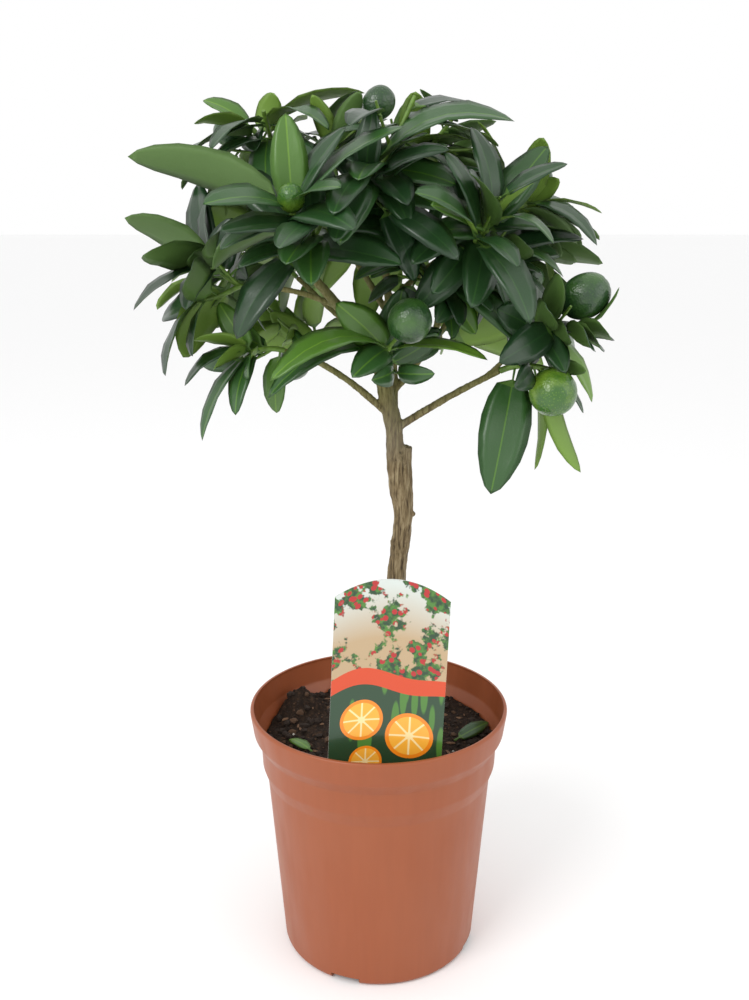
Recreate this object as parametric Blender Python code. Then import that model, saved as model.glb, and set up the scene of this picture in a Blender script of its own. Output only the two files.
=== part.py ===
"""Kumquat grown as a little standard tree in a plastic nursery pot, with its picture label.

Sizes are in metres. MM turns the millimetres of the tables below into metres.
The pot stands on the origin, +Z is up, and the tree's front faces -Y.
"""
import math
import random

import bmesh
import bpy
from mathutils import Matrix, Vector, noise
from mathutils.bvhtree import BVHTree

MM = 0.001
GAP = 0.3 * MM
UP = Vector((0, 0, 1))
GOLDEN_TURN = math.radians(137.5)

# Pot
POT_HEIGHT = 0.150
POT_RIM_RADIUS = 0.075
POT_FOOT_RADIUS = 0.0573
POT_WALL = 0.0017
POT_FLOOR = 0.0025
POT_SIDES = 36
COLLAR_FOOT_RADIUS = 0.0730
COLLAR_FOOT_HEIGHT = 0.1355
BAND_TOP_HEIGHT = 0.1290
BAND_TOP_RADIUS = 0.0690
BAND_FOOT_HEIGHT = 0.1155
BAND_FOOT_RADIUS = 0.0684
BODY_TOP_HEIGHT = 0.1075
BODY_TOP_RADIUS = 0.0656
DRAIN_SLOTS = 4
DRAIN_SLOT_WIDTH = 0.017
DRAIN_SLOT_HEIGHT = 0.004
DRAIN_SLOT_INNER_RADIUS = 0.047
DRAIN_SLOT_LENGTH = 0.020
FOOT_EDGE = 0.0025
RIM_EDGE = 0.0012
FIRST_SLOT_ANGLE = math.radians(-110)

# Soil
SOIL_LEVEL = 0.129
SOIL_ROUGHNESS = 0.0022
SOIL_RINGS = 5
CLOD_PLACE = Vector((-0.048, 0.034, 0))
CLOD_HEIGHT = 0.007
CLOD_RADIUS = 0.013
SOIL_GRAIN = 1 / 0.0167
CALM_ROUND_TRUNK = 0.022
CALM_BY_LABEL = 0.012
SOIL_EDGE = 0.002

# Label
LABEL_WIDTH = 0.061
LABEL_HEIGHT = 0.113
LABEL_ARCH = 0.0105
LABEL_THICKNESS = 0.0008
LABEL_FOOT = Vector((0.0025, -0.0560, SOIL_LEVEL + 2 * GAP))
LABEL_LEAN = math.radians(-5.0)
LABEL_TILT = math.radians(2.8)
LABEL_CURVE = 0.0015
SPIKE_LENGTH = 0.022
SPIKE_WIDTH = 0.016
SPIKE_END_WIDTH = 0.006
SLOT_ROOM = 0.0006
SLOT_HEAD = 0.006
CARD_STEPS = (0.4, 0.7, 1.0)
CARD_WAIST = 0.55

# Trunk: x, y, height and radius in millimetres, from the flat cut at the soil to the tip
TRUNK_SIDES = 10
TRUNK_STATIONS = (
    (8.5, 5.0, 129.3, 8.6),
    (8.8, 5.0, 134.5, 6.4),
    (9.2, 4.0, 150.0, 5.5),
    (9.6, 3.0, 190.0, 5.2),
    (10.0, 2.0, 226.0, 5.1),
    (12.2, 1.0, 246.0, 5.3),
    (14.0, 0.0, 266.0, 5.4),
    (12.4, 0.0, 279.0, 6.5),
    (11.4, 0.0, 291.0, 6.6),
    (9.2, 0.0, 303.0, 5.1),
    (8.1, 0.0, 315.0, 4.8),
    (4.6, -1.0, 330.0, 4.5),
    (-0.4, -3.0, 353.0, 3.7),
)
STUB_FOOT = Vector((14.0, 0.0, 282.0)) * MM
STUB_TOP = Vector((15.4, -0.4, 303.5)) * MM
STUB_RADIUS = 0.0035
KNOB_PLACE = Vector((9.6, -1.0, 248.0)) * MM
KNOB_LENGTH = 0.0088
KNOB_WIDTH = 0.0065
SPUR_FOOT = Vector((15.0, -1.0, 263.0)) * MM
SPUR_TOP = Vector((20.6, -1.6, 265.4)) * MM
SPUR_RADIUS = 0.0018

# Boughs: the limb that carries each, how far along it, tip in millimetres, bow of its middle,
# radius at the foot and radius at the tip
BOUGH_SIDES = 6
BOUGH_STEPS = 5
TUBE_SEAM = Vector((0.31, 0.95, 0.11))
BALL_SEGMENTS = 8
BALL_RINGS = 6
BOUGHS = {
    "bough_leader": ("trunk", 1.0, (-33, -35, 397), (-3, 2, 5), 3.5, 2.2),
    "bough_centre": ("trunk", 0.83, (0, -16, 426), (6, 30, -16), 2.7, 1.9),
    "bough_left_low": ("trunk", 0.845, (-49, -18, 358), (-4, 0, 14), 2.1, 1.5),
    "bough_right_low": ("trunk", 0.815, (63, -22, 348), (2, 0, 4), 2.3, 1.7),
    "bough_right": ("bough_right_low", 0.84, (71, -24, 362), (3, 0, 0), 1.4, 1.2),
    "bough_right_fork": ("bough_centre", 0.16, (40, 2, 394), (6, 4, -10), 2.1, 1.5),
    "bough_left": ("bough_leader", 0.6, (-64, -16, 390), (-2, 2, 6), 1.7, 1.3),
    "bough_top_left": ("bough_centre", 0.5, (-47, 2, 450), (0, 4, 8), 1.8, 1.3),
    "bough_top": ("bough_top_left", 0.45, (-22, 4, 446), (0, 4, 4), 1.5, 1.2),
    "bough_right_high": ("bough_centre", 0.58, (60, 8, 423), (0, 4, 4), 1.9, 1.4),
    "bough_front_right": ("bough_right_high", 0.42, (46, -20, 412), (0, -2, -4), 1.5, 1.2),
    "bough_inner_right": ("bough_right_fork", 0.5, (30, -8, 382), (3, 0, -2), 1.4, 1.2),
    "bough_back_left": ("bough_centre", 0.3, (-46, 40, 392), (0, 8, -4), 2.0, 1.4),
    "bough_back": ("bough_centre", 0.42, (4, 52, 402), (0, 8, -6), 1.9, 1.4),
    "bough_back_right": ("bough_right_fork", 0.35, (52, 40, 392), (2, 8, -6), 1.7, 1.4),
    "bough_back_top": ("bough_centre", 0.74, (12, 24, 440), (2, 8, -2), 1.5, 1.2),
    "bough_back_low_left": ("bough_back_left", 0.3, (-30, 56, 352), (2, 6, 4), 1.5, 1.3),
    "bough_back_low_right": ("bough_back_right", 0.3, (36, 58, 354), (2, 6, 2), 1.5, 1.3),
}

# Foliage: every mass has a stem, side twigs and leaves that follow one rule, inside its own round
# space. "lead" holds the leaves that draw the crown's outline: place along the stem, tip, width,
# arch and the way the upper side faces. "fruit" holds place along the stem, centre, length, width.
LEAF_THICKNESS_SHARE = 0.016
LEAF_SHARES = (0.0, 0.13, 0.42, 0.76)
PETIOLE_SHARE = 0.13
LEAF_LEAN = 0.9
LEAF_ROUNDNESS = 0.6
ROOT_SPACING = 0.05
PETIOLE_HALF_WIDTH = 0.6 * MM
LEAF_PROPORTION = 0.42
LAST_ROOT_SHARE = 0.94
ROOT_DEPTH = 0.8 * MM
CLEARANCE = 0.5 * MM
FLAT_ANGLE = math.radians(2)
TWIG_SIDES = 3
TWIG_RADIUS = 1.5 * MM
TWIG_TIP_RADIUS = 1.1 * MM
STALK_RADIUS = 1.0 * MM
STALK_SIDES = 4
STEM_SWEEP = 0.45
STEM_STEPS = 5
TWIG_STEPS = 3
SPLIT_ANGLE = math.radians(52)
TWIG_FIRST_SHARE = 0.3
TWIG_SPREAD = 0.5
TWIG_LENGTHS = (0.45, 0.70)
TWIG_RISE = 0.25
LEAF_FIRST_SHARE = 0.45
LEAF_FOOT_TILT = math.radians(78)
LEAF_HEAD_TILT = math.radians(40)
LEAF_SIZES = (0.85, 1.15)
LEAF_FOLDS = (math.radians(8), math.radians(20))
LEAF_ARCHES = (0.05, 0.13)
LEAF_SINK = 0.25
LEAF_FACE_OUT = 0.7
LEAF_FACE_ALONG = 0.3
LEAF_FACE_UP = 0.5
TRIES = 7
TRY_TURN = 0.8
SPIRAL_SEAM = Vector((0.23, 0.37, 0.90))
TRY_SHRINK = 0.05
TRUNK_STEM_SHARE = 0.985
TRUNK_STEM_DIRECTION = Vector((0.1, -0.9, 0.3))
TRUNK_STEM_RADIUS = 2.0 * MM
CROWN_MIDDLE = Vector((0, 0, 385)) * MM
CROWN_REACH = Vector((134, 122, 106)) * MM
OPEN_RADIUS = 95 * MM
OPEN_HEIGHT = 345 * MM
MASSES = {
    "foliage_front_left": dict(
        limb="bough_leader", head=(-40, -60, 431), reach=92, twigs=1, leaves=4, size=54, seed=11,
        lead=(
            (1.00, (-118, -50, 453), 26, 8, (0.0, 0.75, 0.65)),
            (1.00, (-77, -92, 431), 22, 5, (0.1, -0.50, 0.85)),
            (0.95, (-43, -55, 472), 19, 2, (0.1, -1.00, 0.10)),
            (1.00, (12, -70, 465), 25, 7, (-0.3, -0.35, 0.90)),
            (0.90, (-78, -66, 402), 21, 8, (-0.3, 0.60, 0.75)),
        ),
        fruit=((1.0, (-40, -70, 434), 17, 12.5),),
    ),
    "foliage_front_middle": dict(
        limb="bough_centre", head=(-2, -35, 450), reach=84, twigs=2, leaves=4, size=54, seed=12,
        lead=(
            (1.00, (64, -45, 469), 26, 14, (0.1, -0.45, 0.90)),
            (1.00, (-18, -72, 413), 24, 6, (-0.2, -0.85, 0.50)),
            (0.95, (37, -52, 440), 19, 4, (0.1, -0.75, 0.65)),
            (0.60, (-3, -42, 403), 18, 3, (0.3, -0.95, 0.10)),
            (0.70, (31, -48, 429), 18, 4, (0.0, -0.70, 0.70)),
            (0.20, (30, -40, 390), 19, 4, (-0.3, -0.90, 0.30)),
        ),
        fruit=(),
    ),
    "foliage_front_right": dict(
        limb="bough_front_right", head=(53, -35, 419), reach=70, twigs=1, leaves=3, size=50, seed=13,
        lead=(
            (1.00, (84, -50, 413), 17, 10, (0.0, -0.10, 1.00)),
            (1.00, (24, -62, 431), 18, 3, (-0.1, -0.80, 0.60)),
            (0.95, (83, -25, 459), 22, 2, (-0.5, -0.85, 0.20)),
            (0.90, (85, -22, 419), 16, 4, (0.0, -0.50, 0.80)),
        ),
        fruit=(),
    ),
    "foliage_left": dict(
        limb="bough_left", head=(-84, -15, 401), reach=72, twigs=1, leaves=4, size=50, seed=14,
        lead=(
            (1.00, (-128, -20, 425), 22, 5, (0.0, 0.70, 0.70)),
            (1.00, (-97, -32, 380), 20, 4, (-0.6, -0.70, 0.30)),
            (0.60, (-100, -30, 356), 26, 6, (-0.5, 0.80, 0.30)),
            (0.80, (-119, 5, 377), 18, 5, (-0.2, 0.20, 1.00)),
            (1.00, (-73, -24, 425), 18, 3, (-0.3, -0.90, 0.20)),
        ),
        fruit=(),
    ),
    "foliage_left_low": dict(
        limb="bough_left_low", head=(-66, -25, 358), reach=62, twigs=0, leaves=2, size=38, seed=15,
        lead=(
            (1.00, (-82, -20, 383), 14, 3, (-0.3, -0.80, 0.40)),
            (1.00, (-99, -35, 342), 15, 8, (-0.3, -0.30, 0.90)),
            (1.00, (-90, -42, 315), 15, 6, (-0.8, -0.50, 0.30)),
            (0.95, (-72, -46, 329), 14, 5, (-0.5, -0.80, 0.30)),
            (0.30, (-54, -18, 325), 15, 3, (-0.4, -0.90, 0.10)),
        ),
        fruit=(),
    ),
    "foliage_front_low": dict(
        limb="trunk", head=(5, -40, 362), reach=76, twigs=0, leaves=1, size=38, seed=16,
        lead=(
            (1.00, (-51, -78, 351), 22, 14, (-0.2, -0.50, 0.85)),
            (0.90, (-54, -60, 340), 20, 14, (-0.2, -0.50, 0.85)),
            (0.90, (-21, -48, 385), 20, 6, (-0.3, -0.80, 0.50)),
            (0.90, (54, -48, 357), 18, 6, (0.0, -0.20, 1.00)),
            (0.80, (12, -32, 391), 18, 2, (0.2, -1.00, 0.10)),
        ),
        fruit=((1.0, (15, -55, 377), 23, 21.5),),
    ),
    "foliage_inner_right": dict(
        limb="bough_inner_right", head=(34, -18, 393), reach=56, twigs=1, leaves=3, size=42, seed=17,
        lead=(
            (1.00, (72, -32, 362), 20, 8, (0.1, -0.60, 0.80)),
            (0.80, (50, -22, 367), 15, 3, (0.0, -0.90, 0.30)),
        ),
        fruit=(),
    ),
    "foliage_right_middle": dict(
        limb="bough_right_fork", head=(56, -8, 406), reach=62, twigs=1, leaves=4, size=47, seed=18,
        lead=(
            (1.00, (96, -10, 395), 18, 9, (0.0, -0.30, 0.95)),
            (0.90, (49, -6, 384), 16, 4, (-0.6, -0.70, 0.30)),
        ),
        fruit=((0.9, (83, 14, 394), 15, 12),),
    ),
    "foliage_right": dict(
        limb="bough_right", head=(80, -28, 372), reach=64, twigs=1, leaves=4, size=45, seed=19,
        lead=(
            (1.00, (92, -52, 351), 16, 3, (0.2, -0.90, 0.30)),
            (0.90, (93, -10, 345), 16, 4, (0.6, -0.70, 0.20)),
            (1.00, (111, -26, 332), 17, 6, (0.8, -0.50, 0.30)),
            (1.00, (59, -35, 381), 18, 2, (-0.1, -0.95, 0.30)),
        ),
        fruit=((1.0, (104, -30, 387), 27, 22.5),),
    ),
    "foliage_right_low": dict(
        limb="bough_right_low", head=(88, -33, 350), reach=74, twigs=0, leaves=2, size=40, seed=20,
        lead=(
            (0.30, (57, -50, 289), 28, 3, (0.0, -1.00, 0.10)),
            (0.70, (83, -22, 295), 11, 4, (0.9, 0.30, 0.10)),
            (1.00, (105, -36, 297), 14, 5, (-0.6, 0.70, 0.20)),
        ),
        fruit=((0.8, (87, -47, 341), 25, 24),),
    ),
    "foliage_right_high": dict(
        limb="bough_right_high", head=(78, 8, 432), reach=62, twigs=1, leaves=4, size=47, seed=21,
        lead=(
            (1.00, (113, -8, 411), 17, 8, (0.2, -0.40, 0.90)),
            (1.00, (120, 18, 427), 13, 4, (0.0, 0.00, 1.00)),
            (0.90, (108, 22, 411), 13, 3, (0.0, 0.30, 0.95)),
        ),
        fruit=((1.0, (84, 15, 443), 20, 16),),
    ),
    "foliage_top_left": dict(
        limb="bough_top_left", head=(-66, 0, 470), reach=74, twigs=1, leaves=3, size=47, seed=22,
        lead=(
            (1.00, (-90, 5, 483), 13, 3, (0.0, -0.60, 0.80)),
            (1.00, (-91, -20, 470), 13, 4, (0.0, 0.50, 0.85)),
            (0.90, (-60, -25, 457), 15, 3, (-0.5, -0.70, 0.50)),
            (0.80, (-24, -30, 466), 19, 12, (0.3, -0.40, 0.85)),
            (1.00, (-52, -10, 485), 16, 3, (0.5, 0.80, 0.30)),
            (1.00, (-7, 10, 487), 17, 8, (0.0, 0.30, 0.95)),
            (0.30, (-97, -10, 423), 20, 9, (-0.6, -0.50, 0.60)),
        ),
        fruit=((1.0, (-77, 5, 468), 17, 15),),
    ),
    "foliage_top": dict(
        limb="bough_top", head=(-22, -8, 458), reach=60, twigs=1, leaves=3, size=40, seed=23,
        lead=(
            (0.80, (-33, -14, 484), 12, 2, (0.2, 0.90, 0.30)),
            (1.00, (-9, -18, 485), 13, 2, (-0.2, 0.90, 0.30)),
        ),
        fruit=((1.0, (0, -4, 481), 18, 16), (0.9, (-15, 6, 468), 18, 16)),
    ),
    "foliage_back_left": dict(
        limb="bough_back_left", head=(-70, 56, 410), reach=66, twigs=3, leaves=5, size=59, seed=31,
        lead=(), fruit=(),
    ),
    "foliage_back": dict(
        limb="bough_back", head=(4, 76, 424), reach=66, twigs=3, leaves=5, size=59, seed=32,
        lead=(), fruit=((0.9, (16, 92, 418), 22, 19),),
    ),
    "foliage_back_right": dict(
        limb="bough_back_right", head=(74, 54, 408), reach=64, twigs=3, leaves=5, size=57, seed=33,
        lead=(), fruit=(),
    ),
    "foliage_back_top": dict(
        limb="bough_back_top", head=(22, 34, 458), reach=60, twigs=3, leaves=4, size=52, seed=34,
        lead=(), fruit=(),
    ),
    "foliage_back_low_left": dict(
        limb="bough_back_low_left", head=(-44, 70, 350), reach=58, twigs=1, leaves=5, size=54, seed=35,
        lead=(), fruit=((1.0, (-52, 80, 338), 22, 20),),
    ),
    "foliage_back_low_right": dict(
        limb="bough_back_low_right", head=(50, 72, 354), reach=58, twigs=1, leaves=5, size=54, seed=36,
        lead=(), fruit=(),
    ),
}


def millimetres(place):
    return Vector(place) * MM


def clear_scene():
    for thing in list(bpy.data.objects):
        bpy.data.objects.remove(thing, do_unlink=True)


def plain_material(name, colour, roughness, metallic=0.0):
    material = bpy.data.materials.new(name)
    material.use_nodes = True
    shader = material.node_tree.nodes["Principled BSDF"]
    shader.inputs["Base Color"].default_value = (*colour, 1.0)
    shader.inputs["Roughness"].default_value = roughness
    shader.inputs["Metallic"].default_value = metallic
    return material


def make_materials():
    return {
        "pot": plain_material("terracotta_plastic", (0.40, 0.115, 0.045), 0.42),
        "soil": plain_material("potting_soil", (0.028, 0.018, 0.012), 0.95),
        "label": plain_material("printed_card", (0.62, 0.30, 0.10), 0.35),
        "bark": plain_material("tan_bark", (0.22, 0.16, 0.08), 0.85),
        "green_bark": plain_material("green_bark", (0.06, 0.09, 0.03), 0.6),
        "leaf": plain_material("citrus_leaf", (0.035, 0.10, 0.022), 0.4),
    }


def add_mesh(name, corners, faces, material=None):
    mesh = bpy.data.meshes.new(name)
    mesh.from_pydata([tuple(corner) for corner in corners], [], faces)
    thing = bpy.data.objects.new(name, mesh)
    bpy.context.scene.collection.objects.link(thing)
    if material:
        mesh.materials.append(material)
    return thing


def add_shape(name, shape, material=None):
    """Turns a bmesh into an object and frees it."""
    mesh = bpy.data.meshes.new(name)
    shape.to_mesh(mesh)
    shape.free()
    thing = bpy.data.objects.new(name, mesh)
    bpy.context.scene.collection.objects.link(thing)
    if material:
        mesh.materials.append(material)
    return thing


def settle(thing):
    """Turns the object's live modifiers into its own mesh."""
    shape = bpy.context.evaluated_depsgraph_get()
    shape.update()
    mesh = bpy.data.meshes.new_from_object(thing.evaluated_get(shape))
    thing.modifiers.clear()
    thing.data = mesh


def combine(thing, operation, others, solver="EXACT"):
    """One Boolean with a collection of other objects, which are removed afterwards."""
    group = bpy.data.collections.new(thing.name + "_parts")
    bpy.context.scene.collection.children.link(group)
    for other in others:
        group.objects.link(other)
    step = thing.modifiers.new(operation.lower(), "BOOLEAN")
    step.operation = operation
    step.operand_type = "COLLECTION"
    step.collection = group
    step.solver = solver
    settle(thing)
    for other in others:
        bpy.data.objects.remove(other, do_unlink=True)
    bpy.data.collections.remove(group)


def keep_outer_shell(thing):
    """Drops loose scraps and the walls of sealed hollows: the longest shell stays."""
    shape = bmesh.new()
    shape.from_mesh(thing.data)
    waiting = set(shape.verts)
    shells = []
    while waiting:
        edge_of_shell = [waiting.pop()]
        shell = set(edge_of_shell)
        while edge_of_shell:
            corner = edge_of_shell.pop()
            for edge in corner.link_edges:
                other = edge.other_vert(corner)
                if other not in shell:
                    shell.add(other)
                    edge_of_shell.append(other)
        waiting -= shell
        shells.append(shell)
    best = max(shells, key=lambda shell: box_size([corner.co for corner in shell]))
    for shell in shells:
        if shell is not best:
            bmesh.ops.delete(shape, geom=list(shell), context="VERTS")
    shape.to_mesh(thing.data)
    shape.free()


def merge_flat_faces(thing):
    """Joins the nearly flat slices that a union leaves, and cuts the faces into triangles again."""
    shape = bmesh.new()
    shape.from_mesh(thing.data)
    bmesh.ops.dissolve_limit(shape, angle_limit=FLAT_ANGLE, verts=shape.verts, edges=shape.edges)
    bmesh.ops.triangulate(shape, faces=shape.faces)
    shape.to_mesh(thing.data)
    shape.free()


def box_size(places):
    low, high = box_of(places)
    return (high - low).length


def box_of(places):
    low = Vector(min(place[axis] for place in places) for axis in range(3))
    high = Vector(max(place[axis] for place in places) for axis in range(3))
    return low, high


def shade_smooth(thing, angle=math.radians(35)):
    thing.data.shade_smooth()
    thing.data.set_sharp_from_angle(angle=angle)


# Pot, soil and label


def turned(name, profile, material):
    """A solid turned round Z from (radius, height) pairs that run from axis to axis."""
    corners = []
    for radius, height in profile[1:-1]:
        for side in range(POT_SIDES):
            angle = math.tau * side / POT_SIDES
            corners.append((radius * math.cos(angle), radius * math.sin(angle), height))
    foot = len(corners)
    corners.append((0, 0, profile[0][1]))
    corners.append((0, 0, profile[-1][1]))
    faces = []
    rings = len(profile) - 2
    for side in range(POT_SIDES):
        after = (side + 1) % POT_SIDES
        faces.append((foot, after, side))
        last = (rings - 1) * POT_SIDES
        faces.append((foot + 1, last + side, last + after))
        for ring in range(rings - 1):
            low, high = ring * POT_SIDES, (ring + 1) * POT_SIDES
            faces.append((low + side, low + after, high + after, high + side))
    return add_mesh(name, corners, faces, material)


def pot_outer_profile():
    """Outer wall from the foot to the rim: straight body, narrow band, deep collar."""
    return [
        (POT_FOOT_RADIUS - FOOT_EDGE, 0.0),
        (POT_FOOT_RADIUS - FOOT_EDGE / 3, FOOT_EDGE / 3),
        (POT_FOOT_RADIUS, FOOT_EDGE),
        (BODY_TOP_RADIUS, BODY_TOP_HEIGHT),
        (BAND_FOOT_RADIUS, BAND_FOOT_HEIGHT),
        (BAND_TOP_RADIUS, BAND_TOP_HEIGHT),
        (COLLAR_FOOT_RADIUS, COLLAR_FOOT_HEIGHT),
        (POT_RIM_RADIUS, POT_HEIGHT - RIM_EDGE),
        (POT_RIM_RADIUS - RIM_EDGE / 2, POT_HEIGHT),
    ]


def inner_wall_profile(room=0.0):
    """Inner wall from the rim down to the floor, a wall's thickness (and room) inside the outer one."""
    inset = POT_WALL + room
    points = [(radius - inset, height) for radius, height in reversed(pot_outer_profile()[2:8])]
    floor = POT_FLOOR + room
    foot_radius = points[-1][0]
    points[-1] = (foot_radius, floor + FOOT_EDGE)
    points.append((foot_radius - FOOT_EDGE, floor))
    return points


def make_pot(materials):
    outer = pot_outer_profile()
    inner = inner_wall_profile()
    lip = [(POT_RIM_RADIUS - RIM_EDGE / 2 - POT_WALL, POT_HEIGHT)]
    profile = [(0, 0.0)] + outer + lip + inner + [(0, POT_FLOOR)]
    pot = turned("pot", profile, materials["pot"])
    slots = []
    middle = DRAIN_SLOT_INNER_RADIUS + DRAIN_SLOT_LENGTH / 2
    size = (DRAIN_SLOT_LENGTH, DRAIN_SLOT_WIDTH, 2 * DRAIN_SLOT_HEIGHT)
    for number in range(DRAIN_SLOTS):
        angle = FIRST_SLOT_ANGLE + math.tau * number / DRAIN_SLOTS
        place = Matrix.Rotation(angle, 4, "Z") @ Matrix.Translation((middle, 0, 0))
        slots.append(add_block("slot", place, size))
    combine(pot, "DIFFERENCE", slots)
    shade_smooth(pot)
    return pot


def add_block(name, place, size):
    shape = bmesh.new()
    bmesh.ops.create_cube(shape, size=1.0, matrix=place @ Matrix.Diagonal((*size, 1)))
    return add_shape(name, shape)


def soil_height(x, y):
    """The soil's surface: crumbly, flat where the trunk and the label stand, one clod at the back."""
    place = Vector((x, y, 0))
    trunk_foot = Vector((TRUNK_STATIONS[0][0], TRUNK_STATIONS[0][1], 0)) * MM
    label_foot = Vector((LABEL_FOOT.x, LABEL_FOOT.y, 0))
    from_trunk = (place - trunk_foot).length / CALM_ROUND_TRUNK
    from_label = abs(place.y - label_foot.y) / CALM_BY_LABEL
    freedom = max(0.0, min(1.0, min(from_trunk, from_label) - 1))
    bump = noise.noise(place * SOIL_GRAIN) * SOIL_ROUGHNESS
    clod = CLOD_HEIGHT * math.exp(-((place - CLOD_PLACE).length / CLOD_RADIUS) ** 2)
    return SOIL_LEVEL + freedom * bump + clod


def make_soil(materials):
    wall = [point for point in inner_wall_profile(GAP) if point[1] < SOIL_LEVEL - SOIL_EDGE]
    outer_radius = BAND_TOP_RADIUS - POT_WALL - 2 * GAP
    profile = [(0, wall[-1][1])] + list(reversed(wall))
    profile.append((outer_radius, SOIL_LEVEL - SOIL_EDGE))
    for ring in range(SOIL_RINGS):
        profile.append((outer_radius * (1 - (ring + 0.3) / (SOIL_RINGS + 0.3)), SOIL_LEVEL))
    profile.append((0, SOIL_LEVEL))
    soil = turned("soil", profile, materials["soil"])
    for corner in soil.data.vertices:
        if corner.co.z > SOIL_LEVEL - SOIL_EDGE / 2:
            corner.co.z = soil_height(corner.co.x, corner.co.y)
    slot = upright_sheet("label_slot", slot_columns(), LABEL_THICKNESS + 2 * SLOT_ROOM)
    combine(soil, "DIFFERENCE", [slot])
    shade_smooth(soil)
    return soil


def card_columns():
    """Place across, foot and head of each column of the card: arched head, level foot, one spike."""
    half = LABEL_WIDTH / 2
    places = [SPIKE_END_WIDTH / 2, SPIKE_WIDTH / 2] + [step * half for step in CARD_STEPS]
    columns = []
    for x in sorted(places + [-place for place in places]):
        foot = -SPIKE_LENGTH if abs(x) == places[0] else x * math.tan(LABEL_TILT)
        columns.append((x, foot, LABEL_HEIGHT - LABEL_ARCH * (x / half) ** 2))
    return columns


def slot_columns():
    """The slot in the soil: the card's spike with a little room all round it."""
    point, spike = SPIKE_END_WIDTH / 2 + SLOT_ROOM, SPIKE_WIDTH / 2 + SLOT_ROOM
    end = -SPIKE_LENGTH - SLOT_ROOM
    return [(x, foot, SLOT_HEAD) for x, foot in ((-spike, 0.0), (-point, end), (point, end), (spike, 0.0))]


def upright_sheet(name, columns, thickness, material=None):
    """A thin closed sheet through the columns, bent back at its sides and leaning as the label does."""
    shape = bmesh.new()
    fronts = []
    backs = []
    for x, foot, head in columns:
        bend = LABEL_CURVE * (x / LABEL_WIDTH * 2) ** 2
        heights = (foot, max(0.0, foot), CARD_WAIST * head, head)
        fronts.append([shape.verts.new((x, -thickness / 2 - bend, height)) for height in heights])
        backs.append([shape.verts.new((x, thickness / 2 - bend, height)) for height in heights])
    for front, back, next_front, next_back in zip(fronts, backs, fronts[1:], backs[1:]):
        add_strip(shape, front, next_front)
        add_strip(shape, next_back, back)
        for row in (0, -1):
            shape.faces.new((front[row], back[row], next_back[row], next_front[row]))
    add_strip(shape, backs[0], fronts[0])
    add_strip(shape, fronts[-1], backs[-1])
    bmesh.ops.remove_doubles(shape, verts=shape.verts, dist=1e-5)
    bmesh.ops.recalc_face_normals(shape, faces=shape.faces)
    turn = Matrix.Rotation(LABEL_TILT, 4, "Y") @ Matrix.Rotation(LABEL_LEAN, 4, "X")
    shape.transform(Matrix.Translation(LABEL_FOOT) @ turn)
    return add_shape(name, shape, material)


def add_strip(shape, run, next_run):
    for low in range(len(run) - 1):
        shape.faces.new((run[low], next_run[low], next_run[low + 1], run[low + 1]))


def make_label(materials):
    return upright_sheet("plant_label", card_columns(), LABEL_THICKNESS, materials["label"])


# Limbs


class Limb:
    """A tapering limb: points along its middle line, a radius at each, and how its foot is cut."""

    def __init__(self, points, radii, foot_direction=None):
        self.points = points
        self.radii = radii
        self.foot_direction = foot_direction or (points[1] - points[0]).normalized()
        self.lengths = [0.0]
        for before, after in zip(points, points[1:]):
            self.lengths.append(self.lengths[-1] + (after - before).length)

    def at(self, share):
        """Place, direction and radius at a share of the length."""
        goal = share * self.lengths[-1]
        last = len(self.points) - 2
        step = 0
        while step < last and self.lengths[step + 1] < goal:
            step += 1
        run = self.lengths[step + 1] - self.lengths[step]
        part = (goal - self.lengths[step]) / run
        place = self.points[step].lerp(self.points[step + 1], part)
        direction = (self.points[step + 1] - self.points[step]).normalized()
        radius = self.radii[step] + (self.radii[step + 1] - self.radii[step]) * part
        return place, direction, radius


def curved_limb(foot, middle, tip, foot_radius, tip_radius, steps, foot_direction=None):
    points = []
    radii = []
    for step in range(steps + 1):
        share = step / steps
        rest = 1 - share
        points.append(foot * rest * rest + middle * 2 * share * rest + tip * share * share)
        radii.append(foot_radius + (tip_radius - foot_radius) * share)
    return Limb(points, radii, foot_direction)


def smooth_run(rows, steps):
    """Points on a smooth curve through the rows, which may carry a radius as a fourth number."""
    result = []
    for index in range(len(rows) - 1):
        before = rows[max(index - 1, 0)]
        start, end = rows[index], rows[index + 1]
        after = rows[min(index + 2, len(rows) - 1)]
        for step in range(steps):
            t = step / steps
            point = []
            for a, b, c, d in zip(before, start, end, after):
                curve = 2 * b + (c - a) * t + (2 * a - 5 * b + 4 * c - d) * t * t
                curve += (3 * b - a - 3 * c + d) * t ** 3
                point.append(curve / 2)
            result.append(point)
    result.append(list(rows[-1]))
    return result


def tube_mesh(limb, sides, grow=0.0, ends=0.0):
    """Corners and faces of a closed tube round a limb; grow widens it and ends lengthens it."""
    corners = []
    faces = []
    count = len(limb.points)
    across = None
    for index, (point, radius) in enumerate(zip(limb.points, limb.radii)):
        before = limb.points[max(index - 1, 0)]
        after = limb.points[min(index + 1, count - 1)]
        along = limb.foot_direction if index == 0 else (after - before).normalized()
        if across is None:
            across = along.cross(TUBE_SEAM).normalized()
        across = (across - along * across.dot(along)).normalized()
        other = along.cross(across)
        centre = point.copy()
        if index == 0:
            centre -= along * ends
        if index == count - 1:
            centre += along * ends
        for side in range(sides):
            angle = math.tau * side / sides
            spoke = across * math.cos(angle) + other * math.sin(angle)
            corners.append(centre + spoke * (radius + grow))
    for ring in range(count - 1):
        low, high = ring * sides, (ring + 1) * sides
        for side in range(sides):
            after = (side + 1) % sides
            faces.append((low + side, low + after, high + after, high + side))
    faces.append(tuple(reversed(range(sides))))
    faces.append(tuple(range((count - 1) * sides, count * sides)))
    return corners, faces


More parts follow.
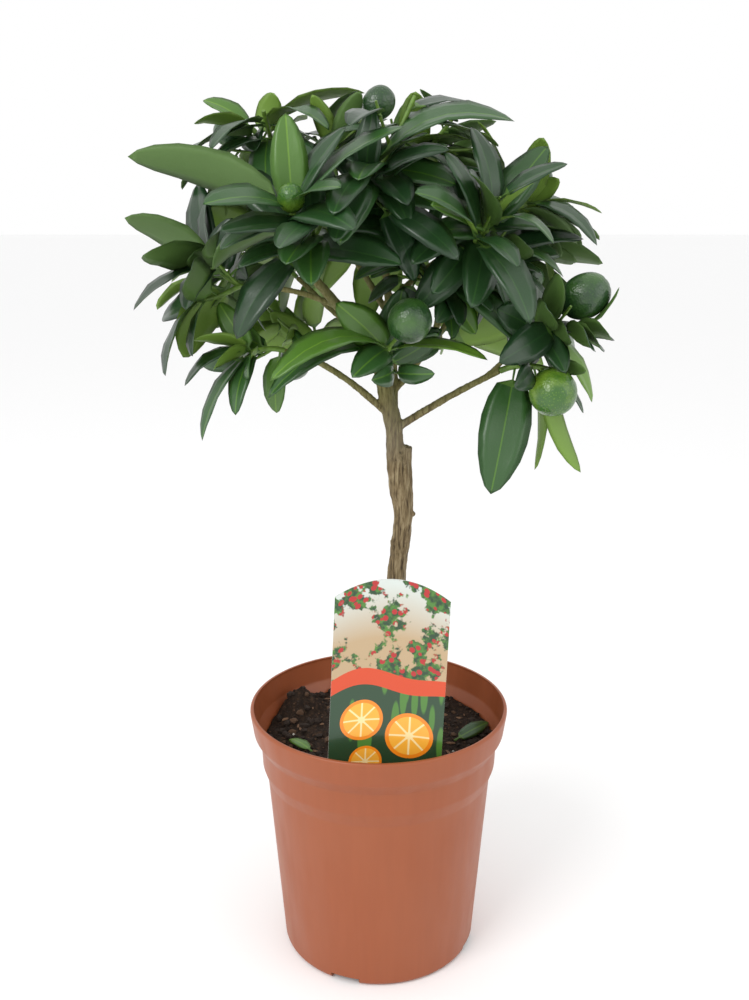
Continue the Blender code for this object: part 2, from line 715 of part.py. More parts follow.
def make_trunk(materials):
    rows = smooth_run(TRUNK_STATIONS, 2)
    points = [millimetres(row[:3]) for row in rows]
    radii = [row[3] * MM for row in rows]
    points[0].z = SOIL_LEVEL + GAP
    limb = Limb(points, radii)
    corners, faces = tube_mesh(limb, TRUNK_SIDES)
    for corner in corners[:TRUNK_SIDES]:
        corner.z = points[0].z
    trunk = add_mesh("trunk", corners, faces, materials["bark"])
    stub = Limb([STUB_FOOT, STUB_TOP], [STUB_RADIUS, STUB_RADIUS])
    spur = Limb([SPUR_FOOT, SPUR_TOP], [SPUR_RADIUS, SPUR_RADIUS / 2])
    parts = [add_mesh("stub", *tube_mesh(stub, TRUNK_SIDES)), add_mesh("spur", *tube_mesh(spur, BOUGH_SIDES))]
    parts.append(add_ball("knob", KNOB_PLACE, UP, KNOB_LENGTH, KNOB_WIDTH))
    combine(trunk, "UNION", parts)
    shade_smooth(trunk)
    return trunk, limb


def add_ball(name, centre, axis, length, width):
    """An egg-shaped ball with its long axis along the given direction."""
    shape = bmesh.new()
    bmesh.ops.create_uvsphere(shape, u_segments=BALL_SEGMENTS, v_segments=BALL_RINGS, radius=0.5)
    turn = axis.normalized().to_track_quat("Z", "Y").to_matrix().to_4x4()
    shape.transform(Matrix.Translation(centre) @ turn @ Matrix.Diagonal((width, width, length, 1)))
    return add_shape(name, shape)


def make_boughs(materials, limbs):
    """Every bough starts in its carrier and is cut clear of it, or goes on from its tip."""
    boughs = []
    for name, (carrier, share, tip, bow, foot_radius, tip_radius) in BOUGHS.items():
        foot, along, _ = limbs[carrier].at(share)
        tip = millimetres(tip)
        on_tip = share == 1.0
        if on_tip:
            foot = foot + along * GAP
        middle = (foot + tip) / 2 + millimetres(bow)
        radii = (foot_radius * MM, tip_radius * MM)
        limb = curved_limb(foot, middle, tip, *radii, BOUGH_STEPS, along if on_tip else None)
        bough = add_mesh(name, *tube_mesh(limb, BOUGH_SIDES), materials["green_bark"])
        if not on_tip:
            cut_clear(bough, limbs[carrier])
        shade_smooth(bough)
        limbs[name] = limb
        boughs.append(bough)
    return boughs


def cut_clear(thing, limb):
    """Cuts away what lies in the limb or nearer to it than the gap."""
    cutter = add_mesh("clearance", *tube_mesh(limb, TRUNK_SIDES, 2 * GAP))
    combine(thing, "DIFFERENCE", [cutter])
    keep_outer_shell(thing)


# Foliage


class Leaf:
    """A blade from its root in the twig to its tip, bowed towards the way its upper side faces."""

    def __init__(self, root, tip, width, arch, face, fold):
        self.root = root
        self.tip = tip
        self.width = width
        self.fold = fold
        chord = tip - root
        self.length = chord.length
        along = chord / self.length
        normal = (face - along * face.dot(along)).normalized()
        self.side = along.cross(normal)
        self.middle = (root + tip) / 2 + normal * 2 * arch

    def station(self, share):
        """Place, sideways direction and upward direction at a share of the length."""
        rest = 1 - share
        place = self.root * rest * rest + self.middle * 2 * share * rest + self.tip * share * share
        slope = (self.middle - self.root) * rest + (self.tip - self.middle) * share
        normal = self.side.cross(slope.normalized())
        return place, self.side, normal

    def half_width(self, share):
        """Half the blade's width: widest a little before its middle, round at both ends."""
        if share <= PETIOLE_SHARE:
            return PETIOLE_HALF_WIDTH
        blade_foot = PETIOLE_SHARE / 2
        blade = (share - blade_foot) / (1 - blade_foot)
        return self.width / 2 * math.sin(math.pi * blade ** LEAF_LEAN) ** LEAF_ROUNDNESS

    def ring(self, share, grow):
        """Left edge, upper rib, right edge and lower rib; the stalk has no upper rib."""
        thickness = self.length * LEAF_THICKNESS_SHARE / 2 + grow
        place, side, normal = self.station(share)
        half = self.half_width(share) + grow
        fold = self.fold if share > PETIOLE_SHARE else 0.0
        edge = side * half * math.cos(fold)
        rise = normal * half * math.sin(fold)
        corners = [place - edge + rise, place + edge + rise, place - normal * thickness]
        if share > PETIOLE_SHARE:
            corners.insert(1, place + normal * thickness)
        return corners

    def mesh(self, first=0, grow=0.0):
        """Corners and faces of the closed blade, from the root ring to the pointed tip."""
        rings = [self.ring(share, grow) for share in LEAF_SHARES[first:]]
        point = self.tip + (self.tip - self.middle).normalized() * grow
        corners = [corner for ring in rings for corner in ring] + [point]
        starts = [sum(len(ring) for ring in rings[:number]) for number in range(len(rings))]
        loops = [
            list(range(start, start + len(ring))) for start, ring in zip(starts, rings)
        ]
        faces = [tuple(reversed(loops[0]))]
        for low, high in zip(loops, loops[1:]):
            faces += joined_rings(low, high)
        last = loops[-1]
        for side, corner in enumerate(last):
            faces.append((corner, last[(side + 1) % len(last)], len(corners) - 1))
        return corners, faces


def joined_rings(low, high):
    """Faces between two rings; a ring of three may widen to a ring of four with an upper rib."""
    if len(low) == len(high):
        faces = []
        for side in range(len(low)):
            after = (side + 1) % len(low)
            faces.append((low[side], low[after], high[after]))
            faces.append((low[side], high[after], high[side]))
        return faces
    left, right, below = low
    far_left, above, far_right, far_below = high
    return [
        (left, right, above),
        (left, above, far_left),
        (right, far_right, above),
        (right, below, far_below),
        (right, far_below, far_right),
        (below, left, far_left),
        (below, far_left, far_below),
    ]


class Obstacle:
    """Something that a new twig or leaf must not touch."""

    def __init__(self, corners, faces):
        self.low, self.high = box_of(corners)
        self.tree = BVHTree.FromPolygons(corners, faces)

    def touches(self, other):
        for axis in range(3):
            if self.low[axis] > other.high[axis] or other.low[axis] > self.high[axis]:
                return False
        return bool(self.tree.overlap(other.tree))


def object_obstacle(thing):
    corners = [corner.co.copy() for corner in thing.data.vertices]
    return Obstacle(corners, [tuple(face.vertices) for face in thing.data.polygons])


class Mass:
    """One mass of foliage while it grows: its stem, twigs, fruit and leaves."""

    def __init__(self, name, plan, limbs):
        self.name = name
        self.plan = plan
        self.random = random.Random(plan["seed"])
        self.shoots = []
        self.leaves = []
        self.fruit = []
        self.solids = []
        self.blades = []
        self.grow_stem(limbs)
        self.centre = (self.shoots[0].points[0] + millimetres(plan["head"])) / 2
        self.reach = plan["reach"] * MM

    def grow_stem(self, limbs):
        """The stem goes on from its bough's tip, or leaves the trunk's front just below its tip."""
        limb = limbs[self.plan["limb"]]
        head = millimetres(self.plan["head"])
        self.cutter = None
        foot, along, radius = limb.at(1.0)
        foot = foot + along * GAP
        if self.plan["limb"] == "trunk":
            foot, along, _ = limb.at(TRUNK_STEM_SHARE)
            along = TRUNK_STEM_DIRECTION
            radius = TRUNK_STEM_RADIUS
            self.cutter = limb
        middle = foot + along * (head - foot).length * STEM_SWEEP
        cut = None if self.cutter else along
        stem = curved_limb(foot, middle, head, radius, TWIG_RADIUS, STEM_STEPS, cut)
        self.add_shoot(stem)

    def add_shoot(self, shoot):
        self.shoots.append(shoot)
        self.solids.append(Obstacle(*tube_mesh(shoot, TWIG_SIDES)))

    def inside(self, place):
        """Whether a tip keeps to the mass's own round space and the crown's dome, off the open fork."""
        from_middle = place - CROWN_MIDDLE
        dome = sum((from_middle[axis] / CROWN_REACH[axis]) ** 2 for axis in range(3))
        by_fork = place.z < OPEN_HEIGHT and place.xy.length < OPEN_RADIUS
        return dome <= 1 and not by_fork and (place - self.centre).length <= self.reach


def clear_of_others(corners, faces, mass, masses, wood):
    shape = Obstacle(corners, faces)
    if any(shape.touches(limb) for limb in wood):
        return False
    for other in masses:
        if other is not mass and any(shape.touches(solid) for solid in other.solids):
            return False
    return True


def place_leaf(leaf, mass, masses, wood):
    """Adds the leaf to its mass unless it would leave the space or touch anything."""
    if not clear_of_others(*leaf.mesh(grow=CLEARANCE), mass, masses, wood):
        return False
    blade = Obstacle(*leaf.mesh(first=2))
    if any(blade.touches(other) for other in mass.blades):
        return False
    mass.leaves.append(leaf)
    mass.blades.append(blade)
    mass.solids.append(Obstacle(*leaf.mesh()))
    return True


def leaf_root(shoot, share, tip):
    """A leaf's root, sunk past the middle of its shoot."""
    middle, _, _ = shoot.at(min(share, LAST_ROOT_SHARE))
    return middle - (tip - middle).normalized() * ROOT_DEPTH


def grow_fruit(mass):
    """Each fruit hangs or stands on a short stalk from the stem."""
    for share, centre, length, width in mass.plan["fruit"]:
        centre = millimetres(centre)
        root = leaf_root(mass.shoots[0], share, centre)
        axis = (centre - root).normalized()
        stalk = Limb([root, centre - axis * length * MM / 3], [STALK_RADIUS, STALK_RADIUS])
        mass.fruit.append((centre, axis, length * MM, width * MM, stalk))
        ball = add_ball("fruit", centre, axis, length * MM, width * MM)
        mass.solids.append(object_obstacle(ball))
        mass.blades.append(object_obstacle(ball))
        bpy.data.objects.remove(ball, do_unlink=True)
        mass.solids.append(Obstacle(*tube_mesh(stalk, STALK_SIDES)))


def grow_lead_leaves(mass, masses, wood):
    for number, (share, tip, width, arch, face) in enumerate(mass.plan["lead"]):
        tip = millimetres(tip)
        root = leaf_root(mass.shoots[0], share - ROOT_SPACING * number, tip)
        fold = mass.random.uniform(*LEAF_FOLDS)
        leaf = Leaf(root, tip, width * MM, arch * MM, Vector(face), fold)
        place_leaf(leaf, mass, masses, wood)


def spiral_direction(along, turn, tilt):
    """A direction tilted away from a shoot's own, turned round it."""
    across = along.cross(SPIRAL_SEAM).normalized()
    other = along.cross(across)
    spoke = across * math.cos(turn) + other * math.sin(turn)
    return (along * math.cos(tilt) + spoke * math.sin(tilt)).normalized()


def grow_twigs(mass, masses, wood):
    """Side twigs leave the stem in a spiral and bend upwards."""
    stem = mass.shoots[0]
    phase = mass.random.uniform(0, math.tau)
    count = mass.plan["twigs"]
    for number in range(count):
        root, along, _ = stem.at(TWIG_FIRST_SHARE + TWIG_SPREAD * number / max(count - 1, 1))
        for attempt in range(TRIES):
            turn = phase + GOLDEN_TURN * number + TRY_TURN * attempt
            direction = spiral_direction(along, turn, SPLIT_ANGLE)
            length = mass.plan["size"] * MM * mass.random.uniform(*TWIG_LENGTHS)
            tip = root + (direction + UP * TWIG_RISE) * length
            middle = root + direction * length / 2
            twig = curved_limb(root, middle, tip, TWIG_RADIUS, TWIG_TIP_RADIUS, TWIG_STEPS)
            shape = tube_mesh(twig, TWIG_SIDES, CLEARANCE)
            fits = mass.inside(tip) and clear_of_others(*shape, mass, masses, wood)
            if fits and not any(Obstacle(*shape).touches(blade) for blade in mass.blades):
                mass.add_shoot(twig)
                break


def grow_rule_leaves(mass, masses, wood):
    """Leaves leave every shoot in a spiral, flatter near its foot and steeper near its tip."""
    for shoot in mass.shoots:
        phase = mass.random.uniform(0, math.tau)
        count = mass.plan["leaves"]
        for number in range(count):
            part = number / max(count - 1, 1)
            share = LEAF_FIRST_SHARE + (1 - LEAF_FIRST_SHARE) * part
            middle, along, _ = shoot.at(share)
            tilt = LEAF_FOOT_TILT + (LEAF_HEAD_TILT - LEAF_FOOT_TILT) * part
            size = mass.plan["size"] * MM * mass.random.uniform(*LEAF_SIZES)
            fold = mass.random.uniform(*LEAF_FOLDS)
            arch = mass.random.uniform(*LEAF_ARCHES)
            for attempt in range(TRIES):
                turn = phase + GOLDEN_TURN * number + TRY_TURN * attempt
                direction = (spiral_direction(along, turn, tilt) - UP * LEAF_SINK).normalized()
                length = size * (1 - TRY_SHRINK * attempt)
                tip = middle + direction * length
                root = leaf_root(shoot, share, tip)
                outward = (tip - CROWN_MIDDLE).normalized()
                face = outward * LEAF_FACE_OUT + along * LEAF_FACE_ALONG + UP * LEAF_FACE_UP
                leaf = Leaf(root, tip, length * LEAF_PROPORTION, length * arch, face, fold)
                if mass.inside(tip) and place_leaf(leaf, mass, masses, wood):
                    break


def build_mass(mass, materials):
    """Joins stem, twigs, leaves and fruit of one mass into one closed solid."""
    stem = add_mesh(mass.name, *tube_mesh(mass.shoots[0], TWIG_SIDES), materials["leaf"])
    if mass.cutter:
        cut_clear(stem, mass.cutter)
    parts = []
    for twig in mass.shoots[1:]:
        parts.append(add_mesh("twig", *tube_mesh(twig, TWIG_SIDES)))
    for leaf in mass.leaves:
        parts.append(add_mesh("leaf", *leaf.mesh()))
    for centre, axis, length, width, stalk in mass.fruit:
        parts.append(add_ball("fruit", centre, axis, length, width))
        parts.append(add_mesh("stalk", *tube_mesh(stalk, STALK_SIDES)))
    combine(stem, "UNION", parts, "MANIFOLD")
    keep_outer_shell(stem)
    merge_flat_faces(stem)
    stem.data.materials.clear()
    stem.data.materials.append(materials["leaf"])
    shade_smooth(stem)
    return stem


def make_foliage(materials, limbs, wood):
    masses = [Mass(name, plan, limbs) for name, plan in MASSES.items()]
    for mass in masses:
        grow_fruit(mass)
    for mass in masses:
        grow_lead_leaves(mass, masses, wood)
    for mass in masses:
        grow_twigs(mass, masses, wood)
    for mass in masses:
        grow_rule_leaves(mass, masses, wood)
    return [build_mass(mass, materials) for mass in masses]


def main():
    clear_scene()
    materials = make_materials()
    make_pot(materials)
    make_soil(materials)
    make_label(materials)
    trunk, trunk_limb = make_trunk(materials)
    limbs = {"trunk": trunk_limb}
    boughs = make_boughs(materials, limbs)
    wood = [object_obstacle(thing) for thing in [trunk, *boughs]]
    make_foliage(materials, limbs, wood)


main()
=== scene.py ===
"""Looks of a kumquat grown as a little standard tree in a plastic nursery pot, with its picture label.

Sizes are in metres, and MM turns the millimetres of the tables into metres. The pot stands on the
origin, +Z is up, and the tree's front faces -Y. The crown grows by the same seeded rule as the
solids, from the same limbs, and is then carried on to finer twigs and leaves.
"""
import functools
import math
import random

import bmesh
import bpy
from bpy.props import FloatProperty, FloatVectorProperty, IntProperty
from mathutils import Matrix, Vector, noise
from mathutils.bvhtree import BVHTree


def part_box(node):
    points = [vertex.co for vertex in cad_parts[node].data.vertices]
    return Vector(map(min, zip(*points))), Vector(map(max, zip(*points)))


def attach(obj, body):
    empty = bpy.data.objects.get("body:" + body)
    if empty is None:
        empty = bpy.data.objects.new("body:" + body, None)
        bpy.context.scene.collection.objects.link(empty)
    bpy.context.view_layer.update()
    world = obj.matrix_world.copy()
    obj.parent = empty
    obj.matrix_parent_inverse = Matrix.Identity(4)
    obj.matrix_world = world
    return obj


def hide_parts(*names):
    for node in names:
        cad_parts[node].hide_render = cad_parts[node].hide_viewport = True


bl_info = {
    "name": "Potted citrus tree",
    "version": (1, 0, 0),
    "blender": (4, 5, 0),
    "location": "View3D > Sidebar > Potted citrus",
    "description": "Dresses the packed solids of a small citrus tree in its pot",
    "category": "Object",
}

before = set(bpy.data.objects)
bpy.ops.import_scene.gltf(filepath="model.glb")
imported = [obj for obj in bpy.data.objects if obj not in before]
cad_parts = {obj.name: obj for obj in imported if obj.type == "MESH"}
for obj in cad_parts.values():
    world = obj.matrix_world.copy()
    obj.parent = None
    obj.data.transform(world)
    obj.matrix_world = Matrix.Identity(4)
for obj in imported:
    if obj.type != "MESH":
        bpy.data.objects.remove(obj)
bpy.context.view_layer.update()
_, POT_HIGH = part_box("pot")
SOIL_LOW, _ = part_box("soil")
BODY = "root"

MM = 0.001
GAP = 0.3 * MM
UP = Vector((0, 0, 1))
GOLDEN_TURN = math.radians(137.5)

# Camera, fitted to the pot's rim and foot
CAMERA_PLACE = (0.0, -0.5826, 0.4285)
CAMERA_TURN = math.radians(75.02)
CAMERA_FOCAL_PIXELS = 1081.4
CAMERA_SIDE_SHIFT = -4.2
FRAME_HEIGHT_PIXELS = 1000
SENSOR = 36.0

# Pot wall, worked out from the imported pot's own box
POT_HEIGHT = POT_HIGH.z
POT_RIM_RADIUS = POT_HIGH.x
POT_WALL = 0.0017
POT_FLOOR = 0.0025
POT_FOOT_RADIUS = 0.0573
COLLAR_FOOT_RADIUS = 0.0730
COLLAR_FOOT_HEIGHT = 0.1355
BAND_TOP_HEIGHT = 0.1290
BAND_TOP_RADIUS = 0.0690
BAND_FOOT_HEIGHT = 0.1155
BAND_FOOT_RADIUS = 0.0684
BODY_TOP_HEIGHT = 0.1075
BODY_TOP_RADIUS = 0.0656
DRAIN_SLOTS = 4
DRAIN_SLOT_WIDTH = 0.017
DRAIN_SLOT_HEIGHT = 0.004
DRAIN_SLOT_INNER_RADIUS = 0.047
DRAIN_SLOT_LENGTH = 0.020
FIRST_SLOT_ANGLE = math.radians(-110)
FOOT_EDGE = 0.0025
RIM_EDGE = 0.0012
CORNER_STEPS = (0.0, 0.33, 0.67, 1.0)
LONGEST_CUT = 0.45
POT_SMOOTH = math.radians(50)

# Soil: waves of its surface as (waves in a metre, share), and what is strewn on it
SOIL_LEVEL = 0.129
SOIL_RADIUS = BAND_TOP_RADIUS - POT_WALL - 2 * GAP
SOIL_SIDES = 120
SOIL_RINGS = 44
SOIL_SHOULDER = 0.004
SOIL_WAVES = ((70, 0.7), (190, 0.45), (520, 0.22))
CLOD_WAVES = 240
CLOD_BROKEN = 0.5
CRUMB_SEED = 41
CHIP_SEED = 42
GRIT_SEED = 43
LITTER_SEED = 77
CRUMB_REACH = 0.985
CHIP_REACH = 0.96
PEBBLE_UNEVENNESS = (0.75, 1.25)
PEBBLE_LEAN = 0.6
CRUMB_LEAST = 0.5
CRUMB_MORE = 2.2
CRUMB_RARITY = 4
CRUMB_LIFT = 0.15
CRUMB_WIDTHS = (0.6, 1)
CRUMB_HEIGHTS = (0.5, 0.9)
CHIP_LENGTHS = (0.003, 0.008)
CHIP_WIDTHS = (0.15, 0.45)
CHIP_FLATNESS = 0.14
CHIP_LIFT = 0.0006
GRIT_SIZES = (0.0010, 0.0022)
GRIT_STRETCH = (1, 0.8, 0.7)
GRIT_LIFT = 0.3
CLOD_PLACE = Vector((-0.048, 0.034, 0))
CLOD_HEIGHT = 0.011
CLOD_RADIUS = 0.013

# Label
LABEL_WIDTH = 0.061
LABEL_HEIGHT = 0.113
LABEL_ARCH = 0.0105
LABEL_THICKNESS = 0.0008
LABEL_FOOT = Vector((0.0025, -0.0560, SOIL_LEVEL + 2 * GAP))
LABEL_LEAN = math.radians(-5.0)
LABEL_TILT = math.radians(2.8)
LABEL_CURVE = 0.0015
LABEL_COLUMNS = 30
LABEL_ROWS = 56
LABEL_SMOOTH = math.radians(40)
CURL_FROM = 0.55
CURL_RUN = 0.45
CURL_HEIGHT = 0.022
CURL_POWER = 1.5

# The label's print, in millimetres from its lower left corner; a slice has a middle and a radius
BAND_LEVEL = 58.0
BAND_HALF_WIDTH = 4.6
BAND_WAVE = 3.0
BAND_WAVE_PACE = 0.11
SLICES = ((17, 36, 11.5), (43, 27, 13.0), (20, 12, 9.0))
HALF_SEGMENTS = 4.0
PITH_WIDTH = 0.16
PULP_SHARE = 0.84
BLOSSOM_SIZE = 1 / 15
CARD_STRETCH = (1.0, 1.85, 1.0)
BLADE_SIZE = 1 / 10
BLADE_STRETCH = (1.0, 0.35, 1.0)
CARD_BACK_COLOUR = (0.72, 0.72, 0.70)

# Fallen leaves: root, tip, width, tint, and how far each leans to its side
LITTER = (
    ((-0.038, -0.024), (-0.052, -0.010), 0.008, 3, 0.2),
    ((-0.047, -0.046), (-0.060, -0.034), 0.007, 2, -0.3),
    ((-0.028, -0.047), (-0.040, -0.041), 0.006, 4, 0.3),
    ((0.044, -0.012), (0.066, 0.010), 0.009, 2, 0.5),
)
LITTER_LIFT = 0.0022
LITTER_ARCH = 0.0016

# Trunk: x, y, height and radius in millimetres, from the flat cut at the soil to the tip
TRUNK_STATIONS = (
    (8.5, 5.0, 129.3, 8.6),
    (8.8, 5.0, 134.5, 6.4),
    (9.2, 4.0, 150.0, 5.5),
    (9.6, 3.0, 190.0, 5.2),
    (10.0, 2.0, 226.0, 5.1),
    (12.2, 1.0, 246.0, 5.3),
    (14.0, 0.0, 266.0, 5.4),
    (12.4, 0.0, 279.0, 6.5),
    (11.4, 0.0, 291.0, 6.6),
    (9.2, 0.0, 303.0, 5.1),
    (8.1, 0.0, 315.0, 4.8),
    (4.6, -1.0, 330.0, 4.5),
    (-0.4, -3.0, 353.0, 3.7),
)
STUB_FOOT = Vector((14.0, 0.0, 282.0)) * MM
STUB_TOP = Vector((15.4, -0.4, 303.5)) * MM
STUB_RADIUS = 0.0035
KNOB_PLACE = Vector((9.6, -1.0, 248.0)) * MM
KNOB_LENGTH = 0.0088
KNOB_WIDTH = 0.0065
SPUR_FOOT = Vector((15.0, -1.0, 263.0)) * MM
SPUR_TOP = Vector((20.6, -1.6, 265.4)) * MM
SPUR_RADIUS = 0.0018

# Boughs: the limb that carries each, how far along it, tip in millimetres, bow of its middle,
# radius at the foot and radius at the tip
BOUGH_STEPS = 5
TUBE_SEAM = Vector((0.31, 0.95, 0.11))
BALL_SEGMENTS = 8
BALL_RINGS = 6
BOUGHS = {
    "bough_leader": ("trunk", 1.0, (-33, -35, 397), (-3, 2, 5), 3.5, 2.2),
    "bough_centre": ("trunk", 0.83, (0, -16, 426), (6, 30, -16), 2.7, 1.9),
    "bough_left_low": ("trunk", 0.845, (-49, -18, 358), (-4, 0, 14), 2.1, 1.5),
    "bough_right_low": ("trunk", 0.815, (63, -22, 348), (2, 0, 4), 2.3, 1.7),
    "bough_right": ("bough_right_low", 0.84, (71, -24, 362), (3, 0, 0), 1.4, 1.2),
    "bough_right_fork": ("bough_centre", 0.16, (40, 2, 394), (6, 4, -10), 2.1, 1.5),
    "bough_left": ("bough_leader", 0.6, (-64, -16, 390), (-2, 2, 6), 1.7, 1.3),
    "bough_top_left": ("bough_centre", 0.5, (-47, 2, 450), (0, 4, 8), 1.8, 1.3),
    "bough_top": ("bough_top_left", 0.45, (-22, 4, 446), (0, 4, 4), 1.5, 1.2),
    "bough_right_high": ("bough_centre", 0.58, (60, 8, 423), (0, 4, 4), 1.9, 1.4),
    "bough_front_right": ("bough_right_high", 0.42, (46, -20, 412), (0, -2, -4), 1.5, 1.2),
    "bough_inner_right": ("bough_right_fork", 0.5, (30, -8, 382), (3, 0, -2), 1.4, 1.2),
    "bough_back_left": ("bough_centre", 0.3, (-46, 40, 392), (0, 8, -4), 2.0, 1.4),
    "bough_back": ("bough_centre", 0.42, (4, 52, 402), (0, 8, -6), 1.9, 1.4),
    "bough_back_right": ("bough_right_fork", 0.35, (52, 40, 392), (2, 8, -6), 1.7, 1.4),
    "bough_back_top": ("bough_centre", 0.74, (12, 24, 440), (2, 8, -2), 1.5, 1.2),
    "bough_back_low_left": ("bough_back_left", 0.3, (-30, 56, 352), (2, 6, 4), 1.5, 1.3),
    "bough_back_low_right": ("bough_back_right", 0.3, (36, 58, 354), (2, 6, 2), 1.5, 1.3),
}

# Foliage: every mass has a stem, side twigs and leaves that follow one rule, inside its own round
# space. "lead" holds the leaves that draw the crown's outline: place along the stem, tip, width,
# arch and the way the upper side faces. "fruit" holds place along the stem, centre, length, width.
LEAF_THICKNESS_SHARE = 0.016
LEAF_SHARES = (0.0, 0.13, 0.42, 0.76)
PETIOLE_SHARE = 0.13
LEAF_LEAN = 0.9
LEAF_ROUNDNESS = 0.6
ROOT_SPACING = 0.05
PETIOLE_HALF_WIDTH = 0.6 * MM
LEAF_PROPORTION = 0.42
LAST_ROOT_SHARE = 0.94
ROOT_DEPTH = 0.8 * MM
CLEARANCE = 0.5 * MM
TWIG_SIDES = 3
TWIG_RADIUS = 1.5 * MM
TWIG_TIP_RADIUS = 1.1 * MM
STALK_RADIUS = 1.0 * MM
STALK_SIDES = 4
STEM_SWEEP = 0.45
STEM_STEPS = 5
TWIG_STEPS = 3
SPLIT_ANGLE = math.radians(52)
TWIG_FIRST_SHARE = 0.3
TWIG_SPREAD = 0.5
TWIG_LENGTHS = (0.45, 0.70)
TWIG_RISE = 0.25
LEAF_FIRST_SHARE = 0.45
LEAF_FOOT_TILT = math.radians(78)
LEAF_HEAD_TILT = math.radians(40)
LEAF_SIZES = (0.85, 1.15)
LEAF_FOLDS = (math.radians(8), math.radians(20))
LEAF_ARCHES = (0.05, 0.13)
LEAF_SINK = 0.25
LEAF_FACE_OUT = 0.7
LEAF_FACE_ALONG = 0.3
LEAF_FACE_UP = 0.5
TRIES = 7
TRY_TURN = 0.8
SPIRAL_SEAM = Vector((0.23, 0.37, 0.90))
TRY_SHRINK = 0.05
TRUNK_STEM_SHARE = 0.985
TRUNK_STEM_DIRECTION = Vector((0.1, -0.9, 0.3))
TRUNK_STEM_RADIUS = 2.0 * MM
CROWN_MIDDLE = Vector((0, 0, 385)) * MM
CROWN_REACH = Vector((134, 122, 106)) * MM
OPEN_RADIUS = 95 * MM
OPEN_HEIGHT = 345 * MM
